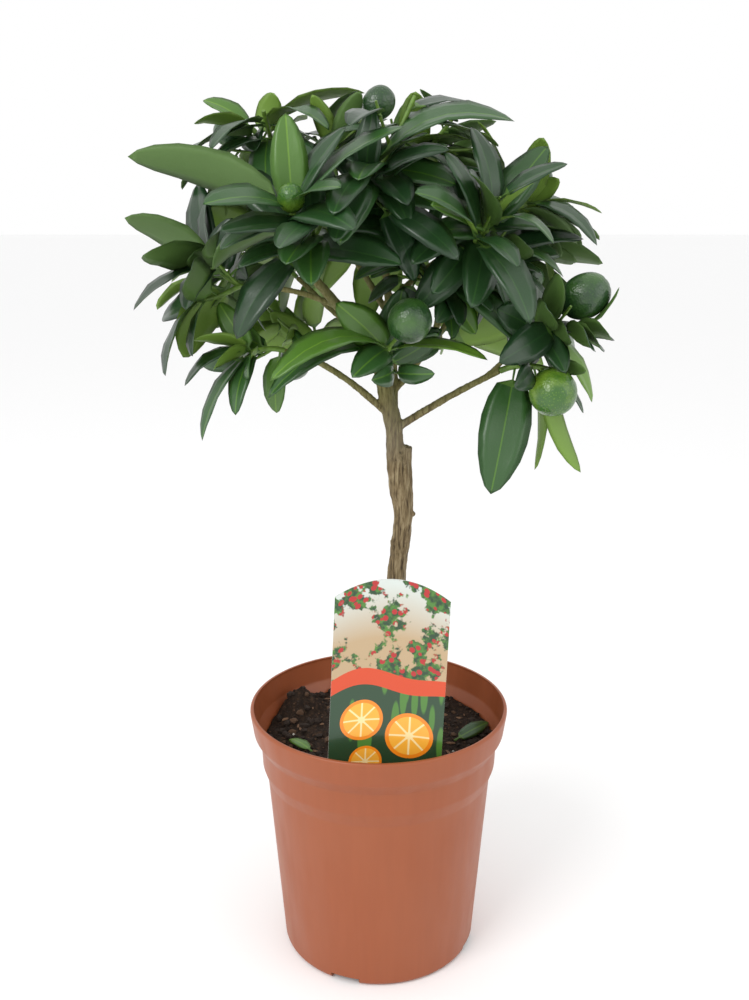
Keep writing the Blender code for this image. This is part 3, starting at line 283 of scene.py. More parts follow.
MASSES = {
    "foliage_front_left": dict(
        limb="bough_leader", head=(-40, -60, 431), reach=92, twigs=1, leaves=4, size=54, seed=11,
        lead=(
            (1.00, (-118, -50, 453), 26, 8, (0.0, 0.75, 0.65)),
            (1.00, (-77, -92, 431), 22, 5, (0.1, -0.50, 0.85)),
            (0.95, (-43, -55, 472), 19, 2, (0.1, -1.00, 0.10)),
            (1.00, (12, -70, 465), 25, 7, (-0.3, -0.35, 0.90)),
            (0.90, (-78, -66, 402), 21, 8, (-0.3, 0.60, 0.75)),
        ),
        fruit=((1.0, (-40, -70, 434), 17, 12.5),),
    ),
    "foliage_front_middle": dict(
        limb="bough_centre", head=(-2, -35, 450), reach=84, twigs=2, leaves=4, size=54, seed=12,
        lead=(
            (1.00, (64, -45, 469), 26, 14, (0.1, -0.45, 0.90)),
            (1.00, (-18, -72, 413), 24, 6, (-0.2, -0.85, 0.50)),
            (0.95, (37, -52, 440), 19, 4, (0.1, -0.75, 0.65)),
            (0.60, (-3, -42, 403), 18, 3, (0.3, -0.95, 0.10)),
            (0.70, (31, -48, 429), 18, 4, (0.0, -0.70, 0.70)),
            (0.20, (30, -40, 390), 19, 4, (-0.3, -0.90, 0.30)),
        ),
        fruit=(),
    ),
    "foliage_front_right": dict(
        limb="bough_front_right", head=(53, -35, 419), reach=70, twigs=1, leaves=3, size=50, seed=13,
        lead=(
            (1.00, (84, -50, 413), 17, 10, (0.0, -0.10, 1.00)),
            (1.00, (24, -62, 431), 18, 3, (-0.1, -0.80, 0.60)),
            (0.95, (83, -25, 459), 22, 2, (-0.5, -0.85, 0.20)),
            (0.90, (85, -22, 419), 16, 4, (0.0, -0.50, 0.80)),
        ),
        fruit=(),
    ),
    "foliage_left": dict(
        limb="bough_left", head=(-84, -15, 401), reach=72, twigs=1, leaves=4, size=50, seed=14,
        lead=(
            (1.00, (-128, -20, 425), 22, 5, (0.0, 0.70, 0.70)),
            (1.00, (-97, -32, 380), 20, 4, (-0.6, -0.70, 0.30)),
            (0.60, (-100, -30, 356), 26, 6, (-0.5, 0.80, 0.30)),
            (0.80, (-119, 5, 377), 18, 5, (-0.2, 0.20, 1.00)),
            (1.00, (-73, -24, 425), 18, 3, (-0.3, -0.90, 0.20)),
        ),
        fruit=(),
    ),
    "foliage_left_low": dict(
        limb="bough_left_low", head=(-66, -25, 358), reach=62, twigs=0, leaves=2, size=38, seed=15,
        lead=(
            (1.00, (-82, -20, 383), 14, 3, (-0.3, -0.80, 0.40)),
            (1.00, (-99, -35, 342), 15, 8, (-0.3, -0.30, 0.90)),
            (1.00, (-90, -42, 315), 15, 6, (-0.8, -0.50, 0.30)),
            (0.95, (-72, -46, 329), 14, 5, (-0.5, -0.80, 0.30)),
            (0.30, (-54, -18, 325), 15, 3, (-0.4, -0.90, 0.10)),
        ),
        fruit=(),
    ),
    "foliage_front_low": dict(
        limb="trunk", head=(5, -40, 362), reach=76, twigs=0, leaves=1, size=38, seed=16,
        lead=(
            (1.00, (-51, -78, 351), 22, 14, (-0.2, -0.50, 0.85)),
            (0.90, (-54, -60, 340), 20, 14, (-0.2, -0.50, 0.85)),
            (0.90, (-21, -48, 385), 20, 6, (-0.3, -0.80, 0.50)),
            (0.90, (54, -48, 357), 18, 6, (0.0, -0.20, 1.00)),
            (0.80, (12, -32, 391), 18, 2, (0.2, -1.00, 0.10)),
        ),
        fruit=((1.0, (15, -55, 377), 23, 21.5),),
    ),
    "foliage_inner_right": dict(
        limb="bough_inner_right", head=(34, -18, 393), reach=56, twigs=1, leaves=3, size=42, seed=17,
        lead=(
            (1.00, (72, -32, 362), 20, 8, (0.1, -0.60, 0.80)),
            (0.80, (50, -22, 367), 15, 3, (0.0, -0.90, 0.30)),
        ),
        fruit=(),
    ),
    "foliage_right_middle": dict(
        limb="bough_right_fork", head=(56, -8, 406), reach=62, twigs=1, leaves=4, size=47, seed=18,
        lead=(
            (1.00, (96, -10, 395), 18, 9, (0.0, -0.30, 0.95)),
            (0.90, (49, -6, 384), 16, 4, (-0.6, -0.70, 0.30)),
        ),
        fruit=((0.9, (83, 14, 394), 15, 12),),
    ),
    "foliage_right": dict(
        limb="bough_right", head=(80, -28, 372), reach=64, twigs=1, leaves=4, size=45, seed=19,
        lead=(
            (1.00, (92, -52, 351), 16, 3, (0.2, -0.90, 0.30)),
            (0.90, (93, -10, 345), 16, 4, (0.6, -0.70, 0.20)),
            (1.00, (111, -26, 332), 17, 6, (0.8, -0.50, 0.30)),
            (1.00, (59, -35, 381), 18, 2, (-0.1, -0.95, 0.30)),
        ),
        fruit=((1.0, (104, -30, 387), 27, 22.5),),
    ),
    "foliage_right_low": dict(
        limb="bough_right_low", head=(88, -33, 350), reach=74, twigs=0, leaves=2, size=40, seed=20,
        lead=(
            (0.30, (57, -50, 289), 28, 3, (0.0, -1.00, 0.10)),
            (0.70, (83, -22, 295), 11, 4, (0.9, 0.30, 0.10)),
            (1.00, (105, -36, 297), 14, 5, (-0.6, 0.70, 0.20)),
        ),
        fruit=((0.8, (87, -47, 341), 25, 24),),
    ),
    "foliage_right_high": dict(
        limb="bough_right_high", head=(78, 8, 432), reach=62, twigs=1, leaves=4, size=47, seed=21,
        lead=(
            (1.00, (113, -8, 411), 17, 8, (0.2, -0.40, 0.90)),
            (1.00, (120, 18, 427), 13, 4, (0.0, 0.00, 1.00)),
            (0.90, (108, 22, 411), 13, 3, (0.0, 0.30, 0.95)),
        ),
        fruit=((1.0, (84, 15, 443), 20, 16),),
    ),
    "foliage_top_left": dict(
        limb="bough_top_left", head=(-66, 0, 470), reach=74, twigs=1, leaves=3, size=47, seed=22,
        lead=(
            (1.00, (-90, 5, 483), 13, 3, (0.0, -0.60, 0.80)),
            (1.00, (-91, -20, 470), 13, 4, (0.0, 0.50, 0.85)),
            (0.90, (-60, -25, 457), 15, 3, (-0.5, -0.70, 0.50)),
            (0.80, (-24, -30, 466), 19, 12, (0.3, -0.40, 0.85)),
            (1.00, (-52, -10, 485), 16, 3, (0.5, 0.80, 0.30)),
            (1.00, (-7, 10, 487), 17, 8, (0.0, 0.30, 0.95)),
            (0.30, (-97, -10, 423), 20, 9, (-0.6, -0.50, 0.60)),
        ),
        fruit=((1.0, (-77, 5, 468), 17, 15),),
    ),
    "foliage_top": dict(
        limb="bough_top", head=(-22, -8, 458), reach=60, twigs=1, leaves=3, size=40, seed=23,
        lead=(
            (0.80, (-33, -14, 484), 12, 2, (0.2, 0.90, 0.30)),
            (1.00, (-9, -18, 485), 13, 2, (-0.2, 0.90, 0.30)),
        ),
        fruit=((1.0, (0, -4, 481), 18, 16), (0.9, (-15, 6, 468), 18, 16)),
    ),
    "foliage_back_left": dict(
        limb="bough_back_left", head=(-70, 56, 410), reach=66, twigs=3, leaves=5, size=59, seed=31,
        lead=(), fruit=(),
    ),
    "foliage_back": dict(
        limb="bough_back", head=(4, 76, 424), reach=66, twigs=3, leaves=5, size=59, seed=32,
        lead=(), fruit=((0.9, (16, 92, 418), 22, 19),),
    ),
    "foliage_back_right": dict(
        limb="bough_back_right", head=(74, 54, 408), reach=64, twigs=3, leaves=5, size=57, seed=33,
        lead=(), fruit=(),
    ),
    "foliage_back_top": dict(
        limb="bough_back_top", head=(22, 34, 458), reach=60, twigs=3, leaves=4, size=52, seed=34,
        lead=(), fruit=(),
    ),
    "foliage_back_low_left": dict(
        limb="bough_back_low_left", head=(-44, 70, 350), reach=58, twigs=1, leaves=5, size=54, seed=35,
        lead=(), fruit=((1.0, (-52, 80, 338), 22, 20),),
    ),
    "foliage_back_low_right": dict(
        limb="bough_back_low_right", head=(50, 72, 354), reach=58, twigs=1, leaves=5, size=54, seed=36,
        lead=(), fruit=(),
    ),
}


# Bark relief: pace of its furrows across and along, and the share of each wave
STRIP_PACE = 620
STRIP_PACE_ALONG = 95
STRIP_FINER = 2.3
STRIP_FINER_SHARE = 0.5
LUMP_PACE = 110
TRUNK_LUMP_SHARE = 0.7
BOUGH_RELIEF_SHARE = 0.35
SMOOTH_TRUNK_SIDES = 24
SMOOTH_SPUR_SIDES = 12
SMOOTH_BOUGH_SIDES = 14
SMOOTH_TWIG_SIDES = 7
SMOOTH_STEPS = 3
TRUNK_LINE_STEPS = 6
STUB_TAPER = 0.96
SPUR_FLARE = 1.2
SPUR_TAPER = 0.5
SOFTENING = 0.5
SOFTENING_ROUNDS = 3
NEAR_TRUNK = 0.0012
NEAR_STUB = 0.012
ABOVE_STUB = 0.002
CUT_DEPTH = 0.0009
CUT_REACH = 0.0042
CUT_UPWARD = 0.7
TWIG_SMOOTH = math.radians(60)

# Growth carried on past the solids
FINE_SEED_SHIFT = 1000
FINE_TWIGS = 1
FINE_TWIG_FIRST_SHARE = 0.35
FINE_TWIG_SPACING = 0.45
FINE_TWIG_RADIUS = 1.0 * MM
FINE_TWIG_TIP_RADIUS = 0.7 * MM
FINE_TWIG_SIZES = (0.35, 0.60)
FINE_LEAVES = 3
FINE_LEAF_SIZES = (0.70, 1.05)
FINE_LEAF_FIRST_SHARE = 0.35
FINE_LEAF_SPACE = 0.82

# Fine leaves: rings along each, and corners round a ring from the left edge over the top and back under
LEAF_STATIONS = (0.0, 0.12, 0.18, 0.30, 0.44, 0.59, 0.73, 0.86, 0.95)
RING_PLACES = (-1.0, -0.55, 0.0, 0.0, 0.55, 1.0, 0.55, 0.0, -0.55)
RING_CORNERS = 9
LEFT_RIB = 2
RIGHT_RIB = 3
RIGHT_EDGE = 5
STALK_RINGS = 2
PETIOLE_FLARE = 1.25
PETIOLE_WAIST = 0.85
WIDEST_RIB = 0.3
RIB_SINK = 0.4
WAVE_PACE = 16
WAVE_SHIFT = 2.1
TINT_SEED_SHIFT = 500
TINT_COUNT = 5
UNDERSIDE_SLOT = 5
FRESH_UNDERSIDE_SLOT = 6
RIB_SLOT = 7
FRESH_FROM = 2
SPRAY_TINTS = (1, 2, 0, 1)
TINT_STEPS = (-1, 0, 0, 0, 1)
LEAD_TINT_STEPS = (0, 1, 1, 2)

# Fruit: dents as (waves round the fruit, share), and the scar at its far end
FRUIT_SEED = 700
FRUIT_SEGMENTS = 36
FRUIT_RINGS = 26
FRUIT_DENTS = ((2.2, 0.018), (7, 0.006))
FRUIT_SMOOTH = math.radians(50)
END_FROM = 0.93
END_RUN = 0.07
END_FLATNESS = 0.05
SCAR_FROM = 0.992
SCAR_HEIGHT = 0.012
BRIGHT_FRUIT = ("foliage_front_left", "foliage_right_low")
CAP_CORNERS = 20
CAP_LOBES = 5
CAP_LOBE_SHARE = 0.35
CAP_WIDTH = 0.13
CAP_RINGS = ((-0.0012, 0.45), (-0.0002, 1.0), (0.0014, 1.0))

# Lights: place and size; both point at the crown's foot
FLOOR_DROP = 0.0002
LIGHT_TARGET = (0, 0, 0.3)
KEY_PLACE = (-0.75, -0.85, 1.05)
KEY_SIZE = 0.7
FILL_PLACE = (0.9, -0.5, 0.7)
FILL_SIZE = 0.8


def colour_setting(name, description, value):
    return FloatVectorProperty(
        name=name, description=description, default=value, subtype="COLOR", min=0, max=1
    )


def length_setting(name, description, value):
    return FloatProperty(name=name, description=description, default=value, unit="LENGTH", min=0)


class PotSettings(bpy.types.PropertyGroup):
    """Sizes and colours of the pot."""

    sides: IntProperty(name="Sides", description="Flats round the pot's wall", default=144, min=24)
    rounding: length_setting("Rounding", "How far each corner of the wall is eased", 0.0011)
    colour: colour_setting("Plastic", "Colour of the plastic", (0.300, 0.076, 0.024))
    dust_colour: colour_setting("Dust", "Colour of the faint dust on the plastic", (0.36, 0.125, 0.055))


class SoilSettings(bpy.types.PropertyGroup):
    """Sizes and colours of the soil and what lies on it."""

    roughness: length_setting("Roughness", "Height of the soil's lumps", 0.0056)
    crumbs: IntProperty(name="Crumbs", description="Loose crumbs on the soil", default=900, min=0)
    crumb_size: length_setting("Crumb size", "Width of a common crumb", 0.0026)
    chips: IntProperty(name="Chips", description="Flat bark chips and fibres on the soil", default=70, min=0)
    grit: IntProperty(name="Grit", description="Pale grains on the soil", default=26, min=0)
    colour: colour_setting("Soil", "Colour of the moist soil", (0.022, 0.012, 0.007))
    crumb_colour: colour_setting("Crumb", "Colour of the drier crumbs", (0.085, 0.045, 0.024))
    chip_colour: colour_setting("Chip", "Colour of the bark chips", (0.16, 0.085, 0.045))
    grit_colour: colour_setting("Grit", "Colour of the pale grains", (0.42, 0.40, 0.36))


class LabelSettings(bpy.types.PropertyGroup):
    """Sizes and colours of the picture label."""

    curl: length_setting("Curl", "How far the lower corner curls forward", 0.0030)
    cream: colour_setting("Cream", "Ground of the upper picture", (0.46, 0.33, 0.19))
    sky: colour_setting("Sky", "Pale corner of the upper picture", (0.60, 0.68, 0.66))
    red: colour_setting("Blossom", "Colour of the small blossoms", (0.42, 0.02, 0.02))
    leaf: colour_setting("Leaf", "Colour of the printed leaves", (0.07, 0.20, 0.03))
    band: colour_setting("Band", "Colour of the band", (0.60, 0.060, 0.012))
    ground: colour_setting("Ground", "Ground of the lower picture", (0.018, 0.055, 0.022))
    rind: colour_setting("Rind", "Rind of the sliced fruit", (0.85, 0.24, 0.01))
    pulp: colour_setting("Pulp", "Segments of the sliced fruit", (0.90, 0.42, 0.04))
    pith: colour_setting("Pith", "Pale lines between the segments", (0.93, 0.72, 0.34))


class WoodSettings(bpy.types.PropertyGroup):
    """Sizes and colours of the trunk, boughs and twigs."""

    grain: length_setting("Grain", "Size of the remeshed wood's faces", 0.00075)
    relief: length_setting("Relief", "Depth of the bark's furrows", 0.0006)
    green_from: length_setting("Green from", "Height where the bark turns green", 0.300)
    green_run: length_setting("Green run", "Length over which it turns green", 0.050)
    bark_colour: colour_setting("Bark", "Colour of the bark", (0.175, 0.125, 0.062))
    furrow_colour: colour_setting("Furrow", "Colour of its furrows", (0.045, 0.030, 0.016))
    ridge_colour: colour_setting("Ridge", "Colour of its ridges", (0.33, 0.265, 0.155))
    patch_colour: colour_setting("Patch", "Colour of smooth patches", (0.20, 0.18, 0.13))
    upper_colour: colour_setting("Upper bark", "Colour of the green upper bark", (0.16, 0.17, 0.045))
    bough_colour: colour_setting("Bough", "Colour of the boughs", (0.024, 0.048, 0.011))
    bough_fleck_colour: colour_setting("Fleck", "Flecks on the boughs", (0.065, 0.095, 0.028))
    twig_colour: colour_setting("Twig", "Colour of the green twigs", (0.13, 0.24, 0.030))
    cut_colour: colour_setting("Cut", "Colour of the sawn end", (0.33, 0.24, 0.13))


class LeafSettings(bpy.types.PropertyGroup):
    """Sizes and colours of the leaves."""

    thickness: length_setting("Thickness", "Thickness of a blade at its rib", 0.00055)
    rib: length_setting("Rib", "Half width of the pale rib", 0.00042)
    wave: FloatProperty(name="Wave", description="Waviness of the margins, by blade width", default=0.05)
    curl: FloatProperty(name="Curl", description="How far margins turn down, by blade width", default=0.10)
    deep: colour_setting("Deep", "Oldest leaves", (0.010, 0.036, 0.011))
    dark: colour_setting("Dark", "Common leaves", (0.015, 0.052, 0.014))
    middle: colour_setting("Middle", "Lighter leaves", (0.026, 0.082, 0.018))
    fresh: colour_setting("Fresh", "Young leaves", (0.066, 0.160, 0.018))
    bright: colour_setting("Bright", "Youngest leaves", (0.120, 0.245, 0.024))
    under: colour_setting("Underside", "Undersides of older leaves", (0.075, 0.150, 0.030))
    under_fresh: colour_setting("Fresh underside", "Undersides of young leaves", (0.150, 0.265, 0.035))
    rib_colour: colour_setting("Rib colour", "Ribs and stalks", (0.080, 0.165, 0.028))


class FruitSettings(bpy.types.PropertyGroup):
    """Colours of the fruit."""

    dark: colour_setting("Dark rind", "Rind of the darker fruit", (0.014, 0.050, 0.013))
    dark_patch: colour_setting("Dark patch", "Paler patches on them", (0.038, 0.105, 0.016))
    bright: colour_setting("Bright rind", "Rind of the brighter fruit", (0.032, 0.110, 0.010))
    bright_patch: colour_setting("Bright patch", "Yellower patches on them", (0.130, 0.235, 0.020))


class StageSettings(bpy.types.PropertyGroup):
    """Floor and lights."""

    floor_size: length_setting("Floor", "Width of the floor", 40.0)
    floor_colour: colour_setting("Floor colour", "Colour of the pale floor", (0.95, 0.95, 0.95))
    world_strength: FloatProperty(name="Sky", description="Strength of the white surroundings", default=1.0)
    key_power: FloatProperty(name="Key", description="Power of the main light", default=9.0, unit="POWER")
    fill_power: FloatProperty(name="Fill", description="Power of the other light", default=2.0, unit="POWER")



# Shared helpers


def millimetres(place):
    return Vector(place) * MM


def deselect_all():
    if bpy.context.mode != "OBJECT":
        bpy.ops.object.mode_set(mode="OBJECT")
    bpy.ops.object.select_all(action="DESELECT")


def make_active(thing):
    deselect_all()
    thing.select_set(True)
    bpy.context.view_layer.objects.active = thing


def settle_place(thing):
    """Puts the object's place, turn and size into its mesh."""
    make_active(thing)
    bpy.ops.object.transform_apply(location=True, rotation=True, scale=True)


def apply_modifiers(thing):
    make_active(thing)
    for step in list(thing.modifiers):
        bpy.ops.object.modifier_apply(modifier=step.name)


def shade(thing, angle=None):
    make_active(thing)
    if angle is None:
        bpy.ops.object.shade_smooth()
    else:
        bpy.ops.object.shade_smooth_by_angle(angle=angle)


def add_mesh(name, corners, faces, slots=None, materials=()):
    """An object from corners and faces, with a material slot for each face."""
    mesh = bpy.data.meshes.new(name)
    mesh.from_pydata([tuple(corner) for corner in corners], [], faces)
    for material in materials:
        mesh.materials.append(material)
    if slots:
        mesh.polygons.foreach_set("material_index", slots)
    mesh.update()
    thing = bpy.data.objects.new(name, mesh)
    bpy.context.scene.collection.objects.link(thing)
    return thing


def hand_in(piece, slot, *nodes):
    """Says which body the piece rides on and which nodes it stands for; the slot is not used."""
    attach(piece, BODY)
    if nodes:
        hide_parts(*nodes)


class Nodes:
    """A short way to build a material's nodes."""

    def __init__(self, name, colour, roughness, **sockets):
        self.material = bpy.data.materials.new(name)
        self.material.use_nodes = True
        self.tree = self.material.node_tree
        self.shader = self.tree.nodes["Principled BSDF"]
        self.shader.inputs["Base Color"].default_value = (*colour, 1.0)
        self.shader.inputs["Roughness"].default_value = roughness
        for socket, value in sockets.items():
            self.shader.inputs[socket.replace("_", " ")].default_value = value
        self.place = None

    def add(self, kind, **settings):
        node = self.tree.nodes.new(kind)
        for name, value in settings.items():
            setattr(node, name, value)
        return node

    def link(self, output, socket):
        self.tree.links.new(output, socket)

    def coordinates(self, scale=(1, 1, 1), source="Object"):
        """Object or UV coordinates, stretched by a Mapping node."""
        if self.place is None:
            self.place = self.add("ShaderNodeTexCoord")
        mapping = self.add("ShaderNodeMapping")
        mapping.inputs["Scale"].default_value = scale
        self.link(self.place.outputs[source], mapping.inputs["Vector"])
        return mapping.outputs["Vector"]

    def noise(self, size, scale=(1, 1, 1), detail=3.0, roughness=0.5, distortion=0.0):
        """Noise whose blotches are about the given size in metres."""
        texture = self.add("ShaderNodeTexNoise")
        texture.inputs["Scale"].default_value = 1 / size
        texture.inputs["Detail"].default_value = detail
        texture.inputs["Roughness"].default_value = roughness
        texture.inputs["Distortion"].default_value = distortion
        self.link(self.coordinates(scale), texture.inputs["Vector"])
        return texture.outputs["Fac"]

    def cells(self, size, scale=(1, 1, 1), source="Object"):
        """Distance from the middles of cells about as wide as the given size."""
        texture = self.add("ShaderNodeTexVoronoi")
        texture.inputs["Scale"].default_value = 1 / size
        self.link(self.coordinates(scale, source), texture.inputs["Vector"])
        return texture.outputs["Distance"]

    def ramp(self, value, *stops):
        """A colour ramp through (position, colour) stops; a single number is a grey."""
        ramp = self.add("ShaderNodeValToRGB")
        elements = ramp.color_ramp.elements
        while len(elements) < len(stops):
            elements.new(0.5)
        for element, (position, colour) in zip(elements, stops):
            element.position = position
            grey = isinstance(colour, (int, float))
            element.color = (colour, colour, colour, 1) if grey else (*colour, 1)
        self.link(value, ramp.inputs["Fac"])
        return ramp.outputs["Color"]

    def mix(self, share, first, second):
        """Mixes two colours, each an output or a plain colour."""
        node = self.add("ShaderNodeMix", data_type="RGBA")
        for value, socket in ((share, node.inputs[0]), (first, node.inputs[6]), (second, node.inputs[7])):
            if isinstance(value, bpy.types.NodeSocket):
                self.link(value, socket)
            elif isinstance(value, (int, float)):
                socket.default_value = value
            else:
                socket.default_value = (*value, 1)
        return node.outputs[2]

    def maths(self, operation, first, second=0.0):
        node = self.add("ShaderNodeMath", operation=operation)
        for value, socket in ((first, node.inputs[0]), (second, node.inputs[1])):
            if isinstance(value, (int, float)):
                socket.default_value = value
            else:
                self.link(value, socket)
        return node.outputs[0]

    def colour(self, output):
        self.link(output, self.shader.inputs["Base Color"])

    def rough(self, output):
        self.link(output, self.shader.inputs["Roughness"])

    def bump(self, height, distance, strength=1.0):
        """Adds a bump on top of those already there."""
        node = self.add("ShaderNodeBump")
        node.inputs["Distance"].default_value = distance
        node.inputs["Strength"].default_value = strength
        self.link(height, node.inputs["Height"])
        socket = self.shader.inputs["Normal"]
        if socket.links:
            self.link(socket.links[0].from_socket, node.inputs["Normal"])
        self.link(node.outputs["Normal"], socket)


# Materials


def darker(colour, share):
    return tuple(part * share for part in colour)


def plastic_material(settings):
    """Terracotta-coloured plastic: satin, faint upright drag marks, a little dust and scuffing."""
    colour = settings.colour
    nodes = Nodes("terracotta_plastic", colour, 0.42, Specular_IOR_Level=0.45)
    drags = nodes.noise(0.004, (1, 1, 0.06), 4)
    clouds = nodes.noise(0.05, (1, 1, 1), 3)
    tone = nodes.ramp(drags, (0.30, darker(colour, 0.97)), (0.70, darker(colour, 1.03)))
    dusty = nodes.ramp(clouds, (0.45, 0.0), (0.75, 0.12))
    nodes.colour(nodes.mix(dusty, tone, settings.dust_colour))
    nodes.rough(nodes.ramp(nodes.noise(0.012, (1, 1, 0.3), 5), (0.3, 0.36), (0.7, 0.50)))
    nodes.bump(drags, 0.00006, 0.5)
    nodes.bump(nodes.noise(0.0006), 0.00002, 0.4)
    return nodes.material


def soil_material(settings):
    """Moist dark potting soil, with brown fibres and crumbs of other tones."""
    nodes = Nodes("potting_soil", settings.colour, 0.92, Specular_IOR_Level=0.25)
    grains = nodes.noise(0.0022, (1, 1, 1), 6, 0.7)
    tone = nodes.ramp(
        grains, (0.30, darker(settings.colour, 0.35)), (0.52, settings.colour), (0.75, settings.crumb_colour)
    )
    nodes.colour(tone)
    nodes.bump(grains, 0.0012, 0.8)
    nodes.bump(nodes.cells(0.0011), 0.0004, 0.5)
    return nodes.material


def bark_material(settings):
    """Tan bark in upright strips with dark furrows, a smoother grey-brown patch, and greener above."""
    nodes = Nodes("tan_bark", settings.bark_colour, 0.8, Specular_IOR_Level=0.3)
    strips = nodes.noise(0.0016, (1, 1, 0.12), 5, 0.65, 0.4)
    fine = nodes.noise(0.0005, (1, 1, 0.35), 3)
    furrowed = nodes.ramp(
        strips,
        (0.36, settings.furrow_colour),
        (0.50, settings.bark_colour),
        (0.68, settings.ridge_colour),
    )
    patches = nodes.ramp(nodes.noise(0.018, (1, 1, 0.5), 2), (0.50, 0.0), (0.62, 0.7))
    lower = nodes.mix(patches, furrowed, nodes.mix(0.5, furrowed, settings.patch_colour))
    height = nodes.add("ShaderNodeSeparateXYZ")
    nodes.link(nodes.coordinates(), height.inputs[0])
    risen = nodes.maths("SUBTRACT", height.outputs["Z"], settings.green_from)
    share = nodes.maths("DIVIDE", risen, settings.green_run)
    wobble = nodes.maths("MULTIPLY", nodes.maths("SUBTRACT", strips, 0.5), 1.4)
    greener = nodes.ramp(nodes.maths("ADD", share, wobble), (0.15, 0.0), (0.85, 0.62))
    nodes.colour(nodes.mix(greener, lower, settings.upper_colour))
    nodes.rough(nodes.ramp(strips, (0.3, 0.92), (0.7, 0.66)))
    nodes.bump(strips, 0.0006, 0.9)
    nodes.bump(fine, 0.00015, 0.5)
    return nodes.material


def green_bark_material(settings):
    """Smooth young bark: dark green-brown with pale upright flecks."""
    nodes = Nodes("green_bark", settings.bough_colour, 0.5, Specular_IOR_Level=0.4)
    flecks = nodes.noise(0.0009, (1, 1, 0.3), 4)
    tone = nodes.ramp(
        flecks,
        (0.35, darker(settings.bough_colour, 0.5)),
        (0.55, settings.bough_colour),
        (0.75, settings.bough_fleck_colour),
    )
    nodes.colour(tone)
    nodes.bump(flecks, 0.0002, 0.7)
    return nodes.material


def twig_material(settings):
    nodes = Nodes("green_twig", settings.twig_colour, 0.45, Specular_IOR_Level=0.45)
    tone = nodes.noise(0.003, (1, 1, 1), 3)
    nodes.colour(nodes.ramp(tone, (0.35, darker(settings.twig_colour, 0.6)), (0.65, settings.twig_colour)))
    nodes.bump(nodes.noise(0.0006, (1, 1, 0.4)), 0.00008, 0.6)
    return nodes.material


def leaf_material(name, colour, roughness, coat):
    """One plain tint of leaf, with a fine leathery grain in its surface only."""
    nodes = Nodes(name, colour, roughness, Specular_IOR_Level=0.5, Coat_Weight=coat, Coat_Roughness=0.25)
    nodes.bump(nodes.noise(0.0009, (1, 1, 1), 4), 0.00010, 0.6)
    nodes.bump(nodes.noise(0.005, (1, 1, 1), 2), 0.0004, 0.35)
    return nodes.material


def fruit_material(name, colour, patch_colour):
    """Unripe rind: a fine speckle of oil glands, paler patches and a soft shine."""
    nodes = Nodes(name, colour, 0.3, Specular_IOR_Level=0.55, Coat_Weight=0.25, Coat_Roughness=0.2)
    glands = nodes.cells(0.0011)
    patches = nodes.ramp(nodes.noise(0.016, (1, 1, 1), 3), (0.46, 0.0), (0.64, 1.0))
    skin = nodes.mix(patches, colour, patch_colour)
    specks = nodes.ramp(glands, (0.10, 0.55), (0.40, 0.0))
    nodes.colour(nodes.mix(specks, skin, darker(patch_colour, 1.15)))
    nodes.bump(glands, 0.00025, 0.8)
    nodes.bump(nodes.noise(0.006, (1, 1, 1), 2), 0.0005, 0.5)
    return nodes.material


# The growth rule, as the solids follow it


def box_of(places):
    low = Vector(min(place[axis] for place in places) for axis in range(3))
    high = Vector(max(place[axis] for place in places) for axis in range(3))
    return low, high


class Limb:
    """A tapering limb: points along its middle line, a radius at each, and how its foot is cut."""

    def __init__(self, points, radii, foot_direction=None):
        self.points = points
        self.radii = radii
        self.foot_direction = foot_direction or (points[1] - points[0]).normalized()
        self.lengths = [0.0]
        for before, after in zip(points, points[1:]):
            self.lengths.append(self.lengths[-1] + (after - before).length)

    def at(self, share):
        """Place, direction and radius at a share of the length."""
        goal = share * self.lengths[-1]
        last = len(self.points) - 2
        step = 0
        while step < last and self.lengths[step + 1] < goal:
            step += 1
        run = self.lengths[step + 1] - self.lengths[step]
        part = (goal - self.lengths[step]) / run
        place = self.points[step].lerp(self.points[step + 1], part)
        direction = (self.points[step + 1] - self.points[step]).normalized()
        radius = self.radii[step] + (self.radii[step + 1] - self.radii[step]) * part
        return place, direction, radius


def curved_limb(foot, middle, tip, foot_radius, tip_radius, steps, foot_direction=None):
    points = []
    radii = []
    for step in range(steps + 1):
        share = step / steps
        rest = 1 - share
        points.append(foot * rest * rest + middle * 2 * share * rest + tip * share * share)
        radii.append(foot_radius + (tip_radius - foot_radius) * share)
    return Limb(points, radii, foot_direction)


def smooth_run(rows, steps):
    """Points on a smooth curve through the rows, which may carry a radius as a fourth number."""
    result = []
    for index in range(len(rows) - 1):
        before = rows[max(index - 1, 0)]
        start, end = rows[index], rows[index + 1]
        after = rows[min(index + 2, len(rows) - 1)]
        for step in range(steps):
            t = step / steps
            point = []
            for a, b, c, d in zip(before, start, end, after):
                curve = 2 * b + (c - a) * t + (2 * a - 5 * b + 4 * c - d) * t * t
                curve += (3 * b - a - 3 * c + d) * t ** 3
                point.append(curve / 2)
            result.append(point)
    result.append(list(rows[-1]))
    return result


